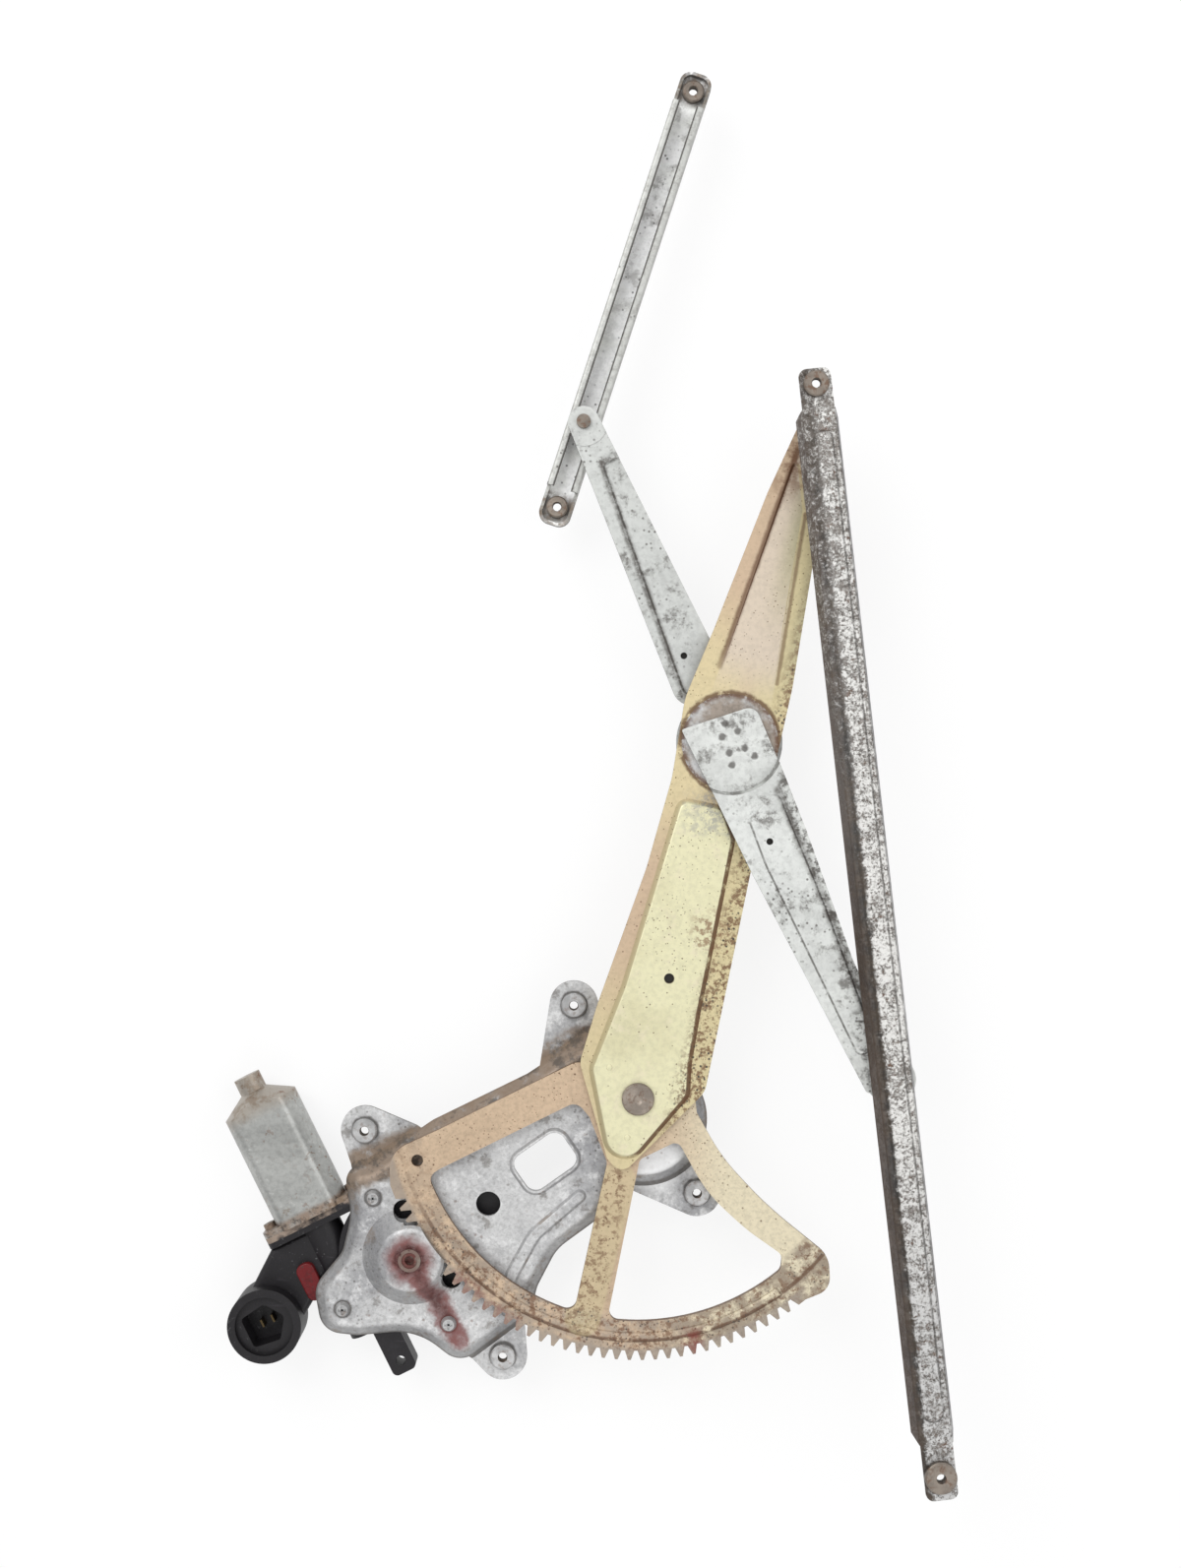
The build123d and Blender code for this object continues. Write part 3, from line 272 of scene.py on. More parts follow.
class Finish:
    """A material under construction."""

    def __init__(self, name):
        self.material = bpy.data.materials.new(name)
        self.material.use_nodes = True
        self.tree = self.material.node_tree
        self.tree.nodes.clear()
        self.place = self.node("ShaderNodeTexCoord", {}, {}, "Object")
        self.facing = self.node("ShaderNodeTexCoord", {}, {}, "Normal")
        self.colour = None

    def node(self, kind, settings, sockets, out=0):
        plain = {key: value.socket if isinstance(value, Field) else value for key, value in sockets.items()}
        return Field(self, add_node(self.tree, kind, settings, plain, out))

    def vector(self, operation, first, second=(0.0, 0.0, 0.0)):
        out = "Value" if operation in {"DOT_PRODUCT", "LENGTH"} else "Vector"
        return self.node("ShaderNodeVectorMath", {"operation": operation}, {0: first, 1: second}, out)

    def noise(self, scale, detail=3.0, rough=0.55, shift=0.0, stretch=(1.0, 1.0, 1.0), turn=0.0):
        """Cloud of values from 0 to 1; scale is in clouds to the metre."""
        moved = self.node(
            "ShaderNodeMapping", {},
            {"Vector": self.place, "Location": (shift, shift * 0.7, shift * 1.3), "Rotation": (0.0, 0.0, turn),
             "Scale": stretch})
        return self.node(
            "ShaderNodeTexNoise", {},
            {"Vector": moved, "Scale": scale, "Detail": detail, "Roughness": rough})

    def cells(self, scale, shift):
        """Distance to the nearest of scattered points."""
        moved = self.node("ShaderNodeMapping", {}, {"Vector": self.place, "Location": (shift, shift, shift)})
        return self.node("ShaderNodeTexVoronoi", {}, {"Vector": moved, "Scale": scale}, "Distance")

    def mix(self, first, second, mask):
        """One colour, turning into another where the mask is 1."""
        first, second = (tone if isinstance(tone, Field) else (*tone, 1.0) for tone in (first, second))
        return self.node("ShaderNodeMix", {"data_type": "RGBA"}, {0: mask, 6: first, 7: second}, 2)

    def wash(self, colour, tone, mask):
        """A colour seen through a tint where the mask is 1."""
        settings = {"data_type": "RGBA", "blend_type": "MULTIPLY"}
        return self.node("ShaderNodeMix", settings, {0: mask, 6: colour, 7: (*tone, 1.0)}, 2)

    def lay(self, colour, mask):
        """Lay a colour over what is there, where the mask is 1."""
        self.colour = self.mix(self.colour, colour, mask)

    def across(self, start, way):
        """Signed distance in metres from a plan line, to the right of the way it runs."""
        side = Vector((way.y, -way.x, 0.0))
        return self.vector("DOT_PRODUCT", self.vector("SUBTRACT", self.place, start), side)

    def along(self, start, way):
        """Distance in metres from a point, along a way."""
        return self.vector("DOT_PRODUCT", self.vector("SUBTRACT", self.place, start), way)

    def far(self, point):
        """Plan distance in metres from a point."""
        gap = self.vector("MULTIPLY", self.vector("SUBTRACT", self.place, point), (1.0, 1.0, 0.0))
        return self.vector("LENGTH", gap)

    def near(self, point, full, none, ragged=0.0, scale=120.0):
        """Mask round a point: 1 within full millimetres and 0 beyond none, with a ragged edge."""
        return self.edge(self.far(point), full, none, ragged, scale)

    def strip(self, start, end, full, none, ragged=0.0, scale=120.0):
        """Mask along a line between two plan points."""
        run = Vector((end.x - start.x, end.y - start.y, 0.0))
        gap = self.vector("MULTIPLY", self.vector("SUBTRACT", self.place, start), (1.0, 1.0, 0.0))
        share = self.vector("DOT_PRODUCT", gap, run) * (1.0 / run.length_squared)
        share = share.most(0.0).least(1.0)
        foot = self.node("ShaderNodeVectorMath", {"operation": "SCALE"}, {0: tuple(run), "Scale": share}, "Vector")
        return self.edge(self.vector("LENGTH", self.vector("SUBTRACT", gap, foot)), full, none, ragged, scale)

    def edge(self, distance, full, none, ragged, scale):
        """Mask by a distance: 1 within full millimetres and 0 beyond none."""
        if ragged:
            distance = distance + (self.noise(scale, 4.0, 0.6, 3.1) - 0.5) * (2.0 * ragged * MM)
        return distance.ramp(none * MM, full * MM)

    def slope(self):
        """0 on level faces and 1 on upright ones."""
        return 1.0 - abs(self.facing.part("Z"))

    def close(self, surface):
        """Send a shader to the material's output."""
        output = self.tree.nodes.new("ShaderNodeOutputMaterial")
        self.tree.links.new(surface.socket, output.inputs["Surface"])
        return self.material

    def finish(self, rough, metal, height, depth, level=0.5):
        """Close the material with a surface that has relief; depth is in metres."""
        relief = self.node("ShaderNodeBump", {}, {"Strength": 1.0, "Distance": depth, "Height": height})
        return self.close(self.node(
            "ShaderNodeBsdfPrincipled", {},
            {"Base Color": self.colour, "Roughness": rough, "Metallic": metal, "Specular IOR Level": level,
             "Normal": relief}))


def colours():
    return bpy.context.scene.regulator_colours


def sizes():
    return bpy.context.scene.regulator_sizes


def shade(colour, factor):
    """A colour made darker or lighter."""
    return tuple(min(1.0, part * factor) for part in colour)


def specks(look, scale, share, shift):
    """Mask of small ragged spots that come in patches."""
    fine = look.noise(scale, 3.0, 0.65, shift)
    group = look.noise(18.0, 2.0, 0.5, shift + 5.0).ramp(0.45, 0.65)
    return fine.ramp(share, share + 0.06) * group


def dots(look, scale, size, shift, patch, low):
    """Mask of small round spots that come in patches; size is the spot's radius as a share of the spacing."""
    spot = look.cells(scale, shift).ramp(size, size * 0.4)
    return spot * look.noise(patch, 3.0, 0.6, shift + 3.0).ramp(low, low + 0.15)


def mottle(look, scale, shift, depth):
    """Fine light and dark mottling, down to a share of the colour."""
    cloud = look.noise(scale, 4.0, 0.7, shift)
    look.colour = look.wash(look.colour, (depth, depth, depth), cloud.ramp(0.40, 0.66))


def rings(look, colour, places, strength, *reach):
    """A colour laid round each of several places; reach is what near asks for."""
    for place in places:
        look.lay(colour, look.near(at(*place), *reach) * strength)


def zinc_plate():
    """Base plate: dull grey zinc, brown along its upper slopes, greased round the pinion; painted shade on its
    slopes and round the nuts and screws, and a painted highlight by the pivot.
    """
    tone = colours()
    look = Finish("zinc_plate")
    broad = look.noise(24.0, 5.0, 0.6)
    cloud = look.noise(95.0, 5.0, 0.7, 4.0)
    fine = look.noise(420.0, 3.0, 0.65, 1.7)
    look.colour = look.mix(tone.zinc, tone.zinc_dull, broad.ramp(0.42, 0.66))
    look.lay(shade(tone.zinc, 1.3), cloud.ramp(0.50, 0.64) * 0.7)
    look.lay(shade(tone.soot, 2.4), cloud.ramp(0.44, 0.34) * 0.6)
    mottle(look, 560.0, 6.0, 0.78)
    slope = look.slope().ramp(0.04, 0.25)
    stain = look.noise(80.0, 5.0, 0.7, 2.2)
    # Painted shade on the sloped faces of the pressing, patchy.
    look.lay(shade(tone.zinc_dull, 0.4), slope * (0.25 + cloud.ramp(0.40, 0.60) * 0.3))
    # Painted shade on the lowest slopes, along the plate's foot.
    foot = look.place.part("Z").ramp(*PLATE_FOOT) * slope
    look.lay(shade(tone.soot, 1.5), foot * 0.7)
    look.lay(shade(tone.taupe, 0.9), slope * stain.ramp(0.54, 0.68) * 0.5)
    # Painted highlight: the level faces beside the pivot made lighter.
    painted_highlight = look.near(at(9, -36), 10.0, 18.0, 3.0) * (1.0 - slope)
    look.lay(shade(tone.zinc, 1.45), painted_highlight * 0.7)
    upper = look.strip(at(-146, -40), at(-102, -22), 7.0, 12.0, 5.0)
    upper = upper.most(look.strip(at(-102, -22), at(-36, 19), 6.0, 12.0, 5.0))
    upper = upper.most(look.strip(at(-46, 16), at(-24, 26), 7.0, 13.0, 5.0))
    look.lay(tone.taupe, upper * stain.ramp(0.28, 0.50) * 0.85)
    look.lay(shade(tone.soot, 0.9), upper * cloud.ramp(0.48, 0.62) * 0.7)
    look.lay(shade(tone.soot, 1.2), dots(look, 300.0, 0.24, 8.0, 16.0, 0.48) * 0.7)
    look.lay(tone.rust, dots(look, 190.0, 0.20, 5.0, 22.0, 0.46) * 0.5)
    # Grime and painted shade round the feet of the ear nuts and the screw heads.
    rings(look, shade(tone.soot, 1.2), EAR_NUTS, 0.75, 6.7, 7.8, 1.0, 300.0)
    rings(look, shade(tone.soot, 1.2), SCREWS, 0.8, 4.2, 5.4, 0.6, 300.0)
    reach = look.near(PINION, 8.0, 15.5, 4.0, 120.0)
    band = look.strip(PINION, at(-92, -124), 3.5, 8.0, 5.0, 150.0)
    wet = reach.most(band) * (0.7 + cloud.ramp(0.35, 0.6) * 0.3)
    look.lay(tone.grease, wet * 0.9)
    dark = look.near(PINION, 6.4, 9.5, 2.0, 160.0)
    dark = dark.most(look.strip(PINION, at(-98, -113), 1.5, 5.0, 3.0, 160.0) * 0.7)
    look.lay(shade(tone.grease, 0.35), dark * (0.6 + fine.ramp(0.42, 0.58) * 0.4))
    rough = 0.42 + broad * 0.2 - wet * 0.2
    metal = 0.6 - slope * 0.2 - wet * 0.5
    return look.finish(rough, metal, fine * 0.4 + cloud * 0.7 + wet * 0.6, 0.0003)


def chromate_sector():
    """Sector: faded peach chromate, paler at its right end, its rim freckled and dark along the bead."""
    tone = colours()
    look = Finish("chromate_sector")
    cloud = look.noise(26.0, 4.0, 0.6)
    grime = look.noise(120.0, 5.0, 0.7, 3.0)
    radius = look.far(PIVOT)
    x = look.place.part("X")
    y = look.place.part("Y")
    look.colour = look.mix(tone.peach, shade(tone.peach, 0.86), cloud.ramp(0.42, 0.68))
    look.lay(tone.khaki, x.ramp(PIVOT.x, PIVOT.x + 0.05) * 0.9)
    mottle(look, 430.0, 2.0, 0.84)
    rim = radius.ramp(*SECTOR_RIM) * (0.3 + y.ramp(PIVOT.y - 0.045, PIVOT.y - 0.075) * 0.7)
    look.lay(shade(tone.steel, 1.1), rim * grime.ramp(0.36, 0.60) * 0.7)
    freckles = look.noise(260.0, 5.0, 0.75, 8.0).ramp(0.50, 0.60)
    look.lay(shade(tone.rust, 1.2), rim * freckles * 0.8)
    worn = rim * x.ramp(PIVOT.x - 0.05, PIVOT.x - 0.10)
    look.lay(shade(tone.taupe, 0.9), worn * grime.ramp(0.36, 0.56) * 0.3)
    lower = rim * x.ramp(PIVOT.x - 0.01, PIVOT.x + 0.04)
    look.lay(shade(tone.taupe, 0.9), lower * grime.ramp(0.34, 0.54) * 0.5)
    line = radius.ramp(*BEAD_INSIDE) * radius.ramp(*BEAD_OUTSIDE) * rim
    look.lay(shade(tone.rust, 0.8), line * grime.ramp(0.34, 0.50) * 0.8)
    spoke = look.strip(at(-10, -42), at(-28, -112), 8.0, 10.0)
    look.lay(shade(tone.straw, 0.9), spoke * cloud.ramp(0.30, 0.5) * 0.5)
    brown = look.strip(at(-12, -44), at(-28, -112), 5.0, 11.0, 5.0, 90.0)
    spots = look.noise(190.0, 5.0, 0.75, 7.0).ramp(0.50, 0.58).most(dots(look, 300.0, 0.36, 7.0, 60.0, 0.44))
    look.lay(shade(tone.rust, 1.1), brown * spots * 0.65)
    for kind in ((520.0, 0.22, 6.0), (300.0, 0.20, 2.0), (210.0, 0.15, 9.0)):
        look.lay(shade(tone.rust, 0.75), dots(look, *kind, 28.0, 0.42) * 0.85)
    look.lay(shade(tone.soot, 0.8), rim * dots(look, 430.0, 0.30, 12.0, 50.0, 0.40) * 0.85)
    teeth = radius.ramp(*SECTOR_TEETH) * x.ramp(PIVOT.x + 0.087, PIVOT.x + 0.080)
    look.lay(shade(tone.steel, 1.15), teeth * 0.7)
    look.lay(shade(tone.rust, 0.8), look.slope().ramp(0.6, 0.9) * 0.75)
    wet = look.near(at(28, -124), 2.0, 9.0, 6.0, 200.0)
    wet = wet.most(look.strip(at(-92, -92), at(-60, -120), 2.0, 7.0, 6.0, 200.0) * 0.6)
    look.lay(shade(tone.grease, 1.3), wet * grime.ramp(0.35, 0.6) * 0.8)
    rough = 0.44 + cloud * 0.2
    return look.finish(rough, 0.5 - rim * 0.2, grime * 0.7 + look.noise(500.0) * 0.3, 0.00025)


def chromate_arm():
    """Lift arm: cream raised panel, rose sunk panel, straw flanges, spotted along the right edge; painted shade on
    its pressed slopes, along the sunk panel's edges and in its dimple.
    """
    tone = colours()
    look = Finish("chromate_arm")
    cloud = look.noise(24.0, 4.0, 0.6, 2.0)
    patch = look.noise(110.0, 5.0, 0.7, 5.0)
    way = Vector((LIFT_END.x - PIVOT.x, LIFT_END.y - PIVOT.y, 0.0)).normalized()
    side = look.across(PIVOT, way)
    run = look.along(PIVOT, way)
    look.colour = look.mix(shade(tone.peach, 0.95), tone.straw, side.ramp(-0.010, 0.010))
    look.lay(tone.straw, run.ramp(0.08, 0.02) * 0.8)
    middle = run.ramp(0.11, 0.16) * run.ramp(0.27, 0.22) * side.ramp(0.002, -0.008)
    look.lay(shade(tone.straw, 1.06), middle * 0.8)
    raised = look.place.part("Z").ramp(*ARM_PANEL)
    panel = look.mix(tone.cream, shade(tone.sage, 1.2), cloud.ramp(0.46, 0.70) * 0.5)
    panel = look.mix(panel, shade(tone.khaki, 1.02), patch.ramp(0.52, 0.68) * 0.6)
    look.lay(panel, raised)
    left_edge = look.across(at(40.5, 217), (at(81.5, 331) - at(40.5, 217)).normalized())
    right_edge = look.across(at(70, 208), (at(85, 298) - at(70, 208)).normalized())
    sunk = left_edge.ramp(0.0, 0.0015) * right_edge.ramp(0.0, -0.0015) * run.ramp(0.205, 0.235)
    green = side.ramp(-0.006, 0.006) * run.ramp(0.235, 0.30)
    look.lay(look.mix(tone.rose, tone.sage, green * 0.9), sunk)
    look.lay(shade(tone.sage, 0.92), side.ramp(0.010, 0.020) * run.ramp(0.20, 0.25) * 0.7)
    mottle(look, 380.0, 4.0, 0.90)
    slope = look.slope()
    tilt = look.facing.part("X")
    bend = slope.ramp(0.05, 0.25)
    # Slopes that face +X: patchy rust-brown grime and painted shade; slopes that face -X: lighter painted shade.
    look.lay(tone.rust, bend * tilt.ramp(0.05, 0.4) * patch.ramp(0.30, 0.46) * 0.9)
    look.lay(shade(tone.straw, 0.72), bend * tilt.ramp(-0.05, -0.4) * 0.8)
    # Painted shade along both edges of the sunk panel.
    groove_shade = look.strip(at(41.5, 219), at(81, 328), 0.5, 2.4, 0.8, 200.0) * run.ramp(0.205, 0.235) * 0.8
    groove_shade = groove_shade.most(look.strip(at(70.5, 210), at(85, 296), 0.3, 1.6, 0.6, 200.0) * 0.65)
    look.lay(shade(tone.rust, 0.9), groove_shade)
    right = side.ramp(0.012, 0.022)
    freckles = look.noise(300.0, 5.0, 0.75, 4.0).ramp(0.46, 0.58)
    look.lay(shade(tone.rust, 1.1), freckles * right * 0.85)
    look.lay(shade(tone.soot, 0.8), dots(look, 420.0, 0.34, 9.0, 40.0, 0.36) * right)
    for kind in ((480.0, 0.20, 1.0), (260.0, 0.14, 7.0)):
        look.lay(shade(tone.rust, 0.7), dots(look, *kind, 20.0, 0.44) * 0.85)
    smear = look.near(at(38, 146), 4.0, 20.0, 12.0, 110.0) * look.noise(300.0, 4.0, 0.7, 3.0).ramp(0.42, 0.6)
    look.lay(shade(tone.zinc_dull, 0.75), smear * 0.7)
    smear = look.near(at(36, 84), 3.0, 16.0, 9.0, 120.0) * look.noise(260.0, 4.0, 0.7, 6.0).ramp(0.48, 0.62)
    look.lay(shade(tone.rust, 1.5), smear * 0.75)
    tip = look.near(LIFT_END, 18.0, 44.0, 8.0, 60.0) * patch.ramp(0.40, 0.58)
    look.lay(shade(tone.rust, 1.2), tip * 0.75)
    hub = look.near(SCISSOR, 25.6, 27.2, 1.2, 260.0)
    look.lay(shade(tone.rust, 0.8), hub * patch.ramp(0.34, 0.52) * 0.85)
    # Painted shade in the dimple.
    look.lay(shade(tone.soot, 0.35), look.near(at(*ARM_DIMPLE), 2.3, 2.8))
    look.lay(shade(tone.rust, 0.9), slope.ramp(0.75, 0.95) * 0.6)
    rough = 0.42 + cloud * 0.18
    return look.finish(rough, 0.45, look.noise(300.0, 3.0, 0.6, 5.0) * 0.5 + patch * 0.5, 0.0002)


def galvanised_arm(name, share, dimple):
    """Equalizer arm: pale galvanised sheet with grey smudges, and painted shade on its slopes, along its grooves
    and in its dimple.
    """
    tone = colours()
    look = Finish(name)
    cloud = look.noise(30.0, 5.0, 0.6, 3.0)
    fine = look.noise(260.0, 4.0, 0.7, 1.0)
    sheet = shade(tone.galvanised, share)
    look.colour = look.mix(sheet, shade(sheet, 0.86), cloud.ramp(0.42, 0.66))
    mottle(look, 330.0, 5.0, 0.86)
    # Painted shade on the pressed slopes, broken up, left out at the open ends.
    bend = look.slope().ramp(0.04, 0.22)
    open_end = look.near(at(62, 149), 9.0, 13.0).most(look.near(at(-4, 327), 12.0, 18.0))
    look.lay(shade(tone.soot, 1.5), bend * (1.0 - open_end) * fine.ramp(0.32, 0.54) * 0.7)
    smudge = look.noise(60.0, 5.0, 0.75, 6.0).ramp(0.50, 0.64) * fine.ramp(0.38, 0.54)
    look.lay(shade(tone.soot, 1.4), smudge * 0.75)
    look.lay(shade(tone.soot, 1.2), dots(look, 330.0, 0.28, 3.0, 26.0, 0.46) * 0.8)
    look.lay(shade(tone.soot, 1.8), dots(look, 240.0, 0.18, 8.0, 24.0, 0.46) * 0.7)
    # Painted shade along the right groove.
    right = look.strip(at(74, 160), at(110, 66), 2.0, 5.0, 3.0, 200.0)
    right = right.most(look.strip(at(112, 40), at(124, 6), 3.0, 8.0, 3.0, 200.0))
    look.lay(shade(tone.soot, 1.2), right * fine.ramp(0.45, 0.6) * 0.85)
    shadow = look.strip(at(70.5, 156), at(94.5, 98), 0.8, 3.4, 0.8, 200.0)
    shadow = shadow.most(look.strip(at(94.5, 98), at(115, 42), 0.8, 3.4, 0.8, 200.0))
    shadow = shadow.most(look.strip(at(-18.4, 322), at(23.7, 204), 0.6, 2.8, 0.8, 200.0))
    look.lay(shade(tone.soot, 1.3), shadow * (0.35 + fine.ramp(0.35, 0.6) * 0.45))
    rings(look, shade(tone.soot, 1.1), SPOT_WELDS, 0.8, 1.2, 2.3, 0.8, 500.0)
    # Painted shade in the dimple.
    look.lay(shade(tone.soot, 0.3), look.near(at(*dimple), 1.5, 1.9))
    look.lay(shade(tone.soot, 1.5), look.slope().ramp(0.7, 0.95) * 0.6)
    rough = 0.44 + cloud * 0.2
    return look.finish(rough, 0.55, fine * 0.6 + cloud * 0.5, 0.00025)


def flaked_rail():
    """Lift rail: zinc flakes over bare grey-brown steel, its left side dark with old dirt."""
    tone = colours()
    look = Finish("flaked_rail")
    broad = look.noise(42.0, 4.0, 0.6, 2.0)
    lumps = look.noise(210.0, 6.0, 0.8, 4.0)
    fine = look.noise(760.0, 4.0, 0.75, 6.0)
    side = look.across(LIFT_END, RAIL_WAY)
    run = look.along(LIFT_END, RAIL_WAY)
    cover = lumps * 0.5 + fine * 0.5 + (broad - 0.5) * 0.24 + run.ramp(0.17, 0.05) * 0.035
    bare = cover.ramp(0.475, 0.585)
    flake = look.mix(shade(tone.flake, 0.9), shade(tone.zinc, 0.85), run.ramp(0.34, 0.46) * 0.7)
    look.colour = look.wash(flake, (0.74, 0.73, 0.72), fine.ramp(0.42, 0.64))
    look.lay(tone.rail_bare, bare * 0.9)
    look.lay(shade(tone.soot, 0.8), bare * fine.ramp(0.52, 0.64) * 0.75)
    rusty = look.noise(180.0, 4.0, 0.7, 7.0).ramp(0.54, 0.66)
    look.lay(shade(tone.rust, 1.1), bare * rusty * 0.6)
    bend = look.slope().ramp(0.06, 0.28)
    look.lay(shade(tone.soot, 1.2), bend * lumps.ramp(0.36, 0.52) * 0.65)
    border = side + (lumps - 0.5) * 0.009 - run * 0.0062
    left = border.ramp(0.0010, 0.0032)
    patch = look.noise(90.0, 5.0, 0.7, 3.0).ramp(0.40, 0.62)
    dirt = look.mix(shade(tone.taupe, 0.26), shade(tone.soot, 0.34), patch)
    dirt = look.mix(dirt, shade(tone.zinc_dull, 0.4), fine.ramp(0.56, 0.66) * lumps.ramp(0.46, 0.58) * 0.6)
    dirt = look.mix(dirt, shade(tone.rust, 0.4), side.ramp(0.005, 0.011) * 0.7)
    upper = run.ramp(0.26, 0.06)
    paler = look.mix(shade(tone.rail_bare, 0.75), shade(tone.flake, 0.7), fine.ramp(0.47, 0.62))
    dirt = look.mix(dirt, paler, upper * lumps.ramp(0.40, 0.58) * 0.85)
    look.lay(dirt, left * 0.94)
    wall = look.slope().ramp(0.55, 0.8)
    look.lay(shade(tone.zinc_dull, 0.8), wall * side.ramp(0.002, -0.002) * 0.6)
    rough = 0.48 + bare * 0.2
    metal = 0.45 - bare * 0.2 - left * 0.25
    return look.finish(rough, metal, fine * 0.5 + lumps * 0.6 - bare * 0.6, 0.0004)


def guide_zinc():
    """Guide channel: floor lightened with painted light against the channel's shade, dirty lips with dark inner
    edges, brown ends.
    """
    tone = colours()
    look = Finish("guide_zinc")
    cloud = look.noise(34.0, 5.0, 0.6, 5.0)
    fine = look.noise(260.0, 5.0, 0.75, 2.0)
    side = abs(look.across(GUIDE_END, GUIDE_WAY))
    run = look.along(GUIDE_END, GUIDE_WAY)
    rim = look.place.part("Z").ramp(*GUIDE_LIP)
    lips = rim.most(side.ramp(0.0060, 0.0068))
    # The floor is painted lighter than the sheet: painted light that lifts the shade in the channel.
    look.colour = look.mix(shade(tone.guide, 1.6), shade(tone.guide, 1.25), cloud.ramp(0.45, 0.7))
    look.lay(shade(tone.guide, 0.8), lips)
    mottle(look, 420.0, 3.0, 0.86)
    look.lay(shade(tone.soot, 2.2), fine.ramp(0.44, 0.68) * lips * 0.4)
    seam = side.ramp(0.0056, 0.0050) * rim
    look.lay(shade(tone.soot, 0.8), seam * fine.ramp(0.24, 0.40) * 0.9)
    upper = run.ramp(0.02, 0.10) * look.noise(70.0, 5.0, 0.7, 8.0).ramp(0.46, 0.60)
    look.lay(shade(tone.soot, 2.3), upper * (1.0 - lips) * 0.55)
    look.lay(shade(tone.soot, 1.1), dots(look, 300.0, 0.24, 4.0, 24.0, 0.44) * 0.8)
    look.lay(shade(tone.soot, 1.3), look.slope().ramp(0.6, 0.9) * rim * 0.6)
    ends = run.ramp(-0.034, -0.040).most(run.ramp(0.172, 0.178))
    grime = look.noise(120.0, 5.0, 0.7, 6.0).ramp(0.36, 0.54)
    look.lay(shade(tone.soot, 1.4), ends * grime * 0.75)
    look.lay(shade(tone.taupe, 0.8), ends * fine.ramp(0.42, 0.58) * 0.6)
    look.lay(shade(tone.soot, 1.2), ends * look.slope().ramp(0.3, 0.8) * 0.7)
    rough = 0.42 + cloud * 0.2
    return look.finish(rough, 0.3 + lips * 0.25, fine * 0.5, 0.0002)


def plated_steel(name, base, shift, dirt=0.6):
    """Nuts, studs and screws: worn plating with rust patches, and painted shade on their upright faces and in
    their bores.
    """
    tone = colours()
    look = Finish(name)
    fine = look.noise(380.0, 4.0, 0.65, shift)
    cloud = look.noise(120.0, 4.0, 0.6, shift + 2.0)
    look.colour = look.mix(base, shade(base, 0.68), cloud.ramp(0.4, 0.65))
    look.lay(tone.rust, fine.ramp(0.52, 0.64) * dirt)
    # Painted shade on the upright faces: flanks, sides and bores.
    look.lay(shade(tone.soot, 0.8), look.slope().ramp(0.5, 0.9) * 0.5)
    return look.finish(0.38 + fine * 0.2, 0.7, fine, 0.0001)


def hub_steel():
    """Scissor hub: bare grey ring, brown with old grease at its rim."""
    tone = colours()
    look = Finish("hub_steel")
    fine = look.noise(260.0, 4.0, 0.7, 3.0)
    cloud = look.noise(70.0, 4.0, 0.6, 6.0)
    look.colour = look.mix(shade(tone.steel, 1.25), shade(tone.zinc, 0.95), cloud.ramp(0.40, 0.62))
    mottle(look, 300.0, 9.0, 0.7)
    rim = look.far(SCISSOR).ramp(*HUB_RIM)
    look.lay(shade(tone.rust, 0.9), rim * fine.ramp(0.36, 0.54) * 0.85)
    return look.finish(0.45 + fine * 0.15, 0.5, fine, 0.0003)


def yoke_zinc():
    """Motor can: satin zinc, drawn along its length, stained at the dome, the flange brown."""
    tone = colours()
    look = Finish("yoke_zinc")
    turn = -math.atan2(MOTOR_WAY.y, MOTOR_WAY.x)
    drawn = look.noise(70.0, 4.0, 0.6, 1.0, (0.12, 1.0, 1.0), turn)
    cloud = look.noise(45.0, 5.0, 0.6, 4.0)
    fine = look.noise(330.0, 4.0, 0.7, 9.0)
    run = look.along(MOTOR_FLANGE, MOTOR_WAY)
    look.colour = look.mix(tone.yoke, shade(tone.yoke, 0.8), drawn.ramp(0.35, 0.7))
    look.lay(shade(tone.yoke, 1.3), fine.ramp(0.56, 0.68) * cloud.ramp(0.40, 0.60) * 0.7)
    mottle(look, 420.0, 4.0, 0.82)
    dome = run.ramp(-0.056, -0.064)
    look.lay(tone.yoke_end, dome * (0.35 + cloud * 0.5))
    brown = look.noise(120.0, 5.0, 0.7, 5.0).ramp(0.48, 0.62)
    look.lay(shade(tone.taupe, 0.9), dome * brown * 0.6)
    flange = run.ramp(-0.0062, -0.0032)
    look.lay(tone.bronze, flange * cloud.ramp(0.30, 0.5))
    look.lay(shade(tone.soot, 0.9), flange * fine.ramp(0.48, 0.62) * 0.7)
    look.lay(shade(tone.rust, 1.2), specks(look, 300.0, 0.60, 2.0) * 0.8)
    stain = look.noise(130.0, 4.0, 0.7, 8.0).ramp(0.54, 0.66) * run.ramp(-0.03, -0.006)
    look.lay(shade(tone.taupe, 0.9), stain * 0.7)
    return look.finish(0.34 + cloud * 0.16, 0.65, drawn * 0.4 + cloud * 0.3 + fine * 0.3, 0.0002)


